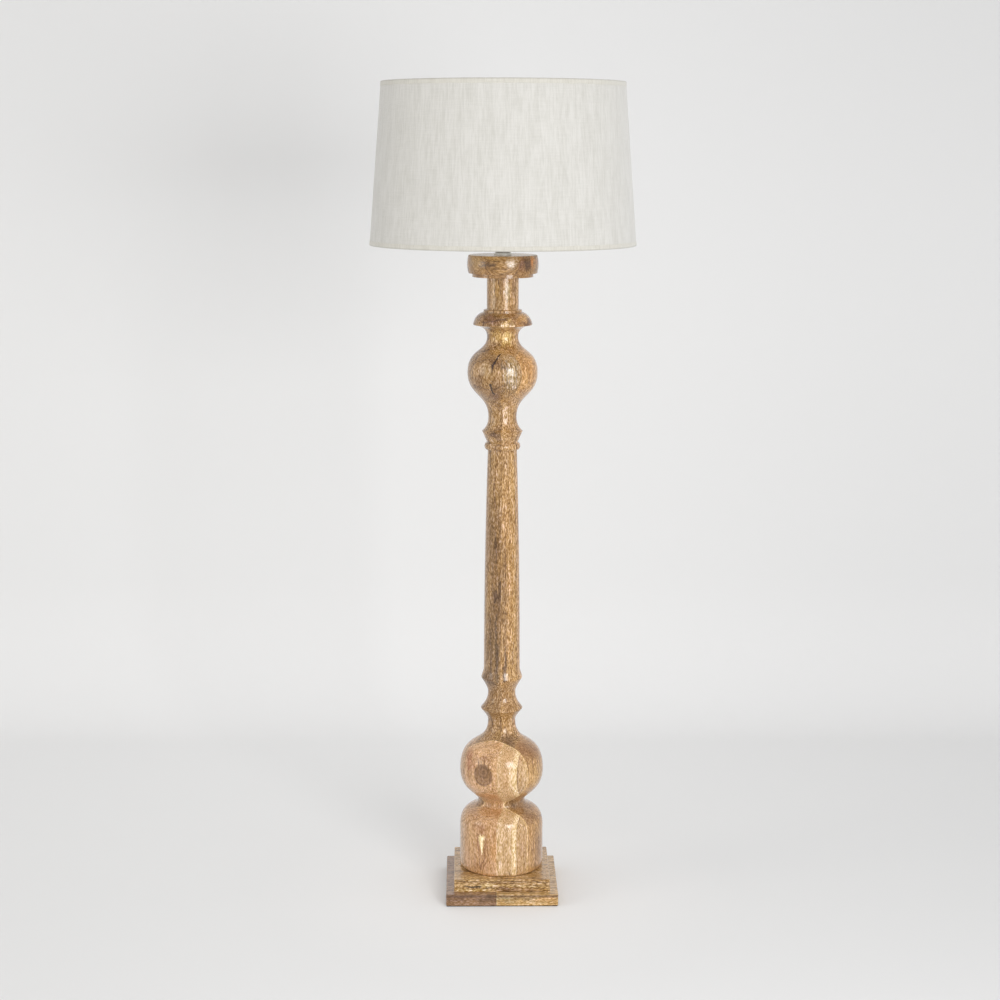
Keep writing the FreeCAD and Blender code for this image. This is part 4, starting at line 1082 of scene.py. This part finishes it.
# ------------------------------------------------------------------ shade hems
# The same linen is rolled over each rim and its wire, and glued down inside and out. The
# lower one is notched inside where a spoke meets the wire.
hem_width = 0.009
hem_thick = 0.00042
hem_off = 0.00031
hem_depth = 0.00475
hem_inner_height = 0.0057
hem_roll = 0.0010
notch_half = 0.0032
spoke_angles = [math.radians(90 + 120 * k) for k in range(3)]
hem_fine = [math.radians(k * 0.3) for k in range(-6, 7)]


def hem_piece(name, rim, inward, notched):
    """The folded strip at one rim. Inward is 1 for the lower rim and -1 for the upper one."""
    angles = {round(math.radians(1.5 * k), 6) for k in range(240)}
    angles |= {round((spoke + fine) % (2 * math.pi), 6) for spoke in spoke_angles
               for fine in hem_fine}
    angles = sorted(angles)
    rows = []
    for angle in angles:
        arc = ((angle - first_angle) % (2 * math.pi)) * linen_middle
        lap = lifted(arc) + (lap_lift if arc < linen_lap else 0.0)
        uneven = (0.00012 * math.sin(23 * angle + 0.7) + 0.00010 * math.sin(41 * angle)
                  + 0.00006 * math.sin(97 * angle + 2.0))
        rise = 0.00014 + abs(uneven)
        tall = hem_inner_height
        if notched:
            off = min(abs((angle - spoke + math.pi) % (2 * math.pi) - math.pi)
                      for spoke in spoke_angles) * (cone_radius(rim) - hem_depth)
            share = min(max((off - notch_half * 0.6) / (notch_half * 0.6), 0.0), 1.0)
            tall = hem_roll * 0.3 + (hem_inner_height - hem_roll * 0.3) * share
        outer = hem_off + lap + waved(angle, rim)
        middle = [(cone_radius(rim + inward * up) + outer * keep, up) for up, keep in
                  ((hem_width + 3 * uneven, 0.45), (hem_width * 0.93, 0.9),
                   (hem_width * 0.7, 1.0), (hem_width * 0.4, 1.0), (hem_roll * 1.5, 1.0))]
        edge = cone_radius(rim)
        middle += [(edge + outer * 0.9, hem_roll * 0.9 + rise),
                   (edge + outer * 0.3, hem_roll * 0.4 + rise),
                   (edge - 0.0006, hem_roll * 0.12 + rise), (edge - 0.0022, rise),
                   (edge - hem_depth + 0.0010, hem_roll * 0.1 + rise),
                   (edge - hem_depth + 0.0003, hem_roll * 0.25 + rise)]
        middle += [(edge - hem_depth, hem_roll * 0.28 + rise + (tall - hem_roll * 0.28) * k / 3)
                   for k in range(1, 4)]
        left, right = [], []
        for k, (radius, up) in enumerate(middle):
            before, after = middle[max(k - 1, 0)], middle[min(k + 1, len(middle) - 1)]
            along = Vector((after[0] - before[0], after[1] - before[1])).normalized()
            half = hem_thick / 2 * (0.45 if k == 0 else 1.0)
            left.append((radius + along.y * half, up - along.x * half))
            right.append((radius - along.y * half, up + along.x * half))
        rows.append([(radius * math.cos(angle), radius * math.sin(angle), rim + inward * up)
                     for radius, up in left + right[::-1]])
    arcs = [angle * linen_middle for angle in angles] + [2 * math.pi * linen_middle]
    run = [0.0]
    for before, after in zip(middle, middle[1:]):
        run.append(run[-1] + math.dist(before, after))
    return new_piece(name, cloth_mesh(name, rows, arcs, run + run[::-1], True))


lower_rim = hem_piece("lower_rolled_hem", shade_low, 1, True)
upper_rim = hem_piece("upper_rolled_hem", shade_high, -1, False)
# painted shade darkens the rolled linen in a band at each rim
rolled_linen = cloth_material("rolled_linen", (220, 217, 208), (187, 183, 171), 0.7,
                              shaded_rims=(shade_low, shade_high), rim_shade_width=0.0030, rim_shade_share=0.5,
                              rim_shade_tone=(168, 165, 156))
for rim_piece, node in ((lower_rim, "bottom_hem"), (upper_rim, "top_hem")):
    rim_piece.data.materials.append(rolled_linen)
    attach(rim_piece, "shade")
    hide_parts(node)

# the cut is part of a ring: 300.9 mm along the slope, and 3248 mm from the cone's own point
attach(linen, "shade")
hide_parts("shade_linen")
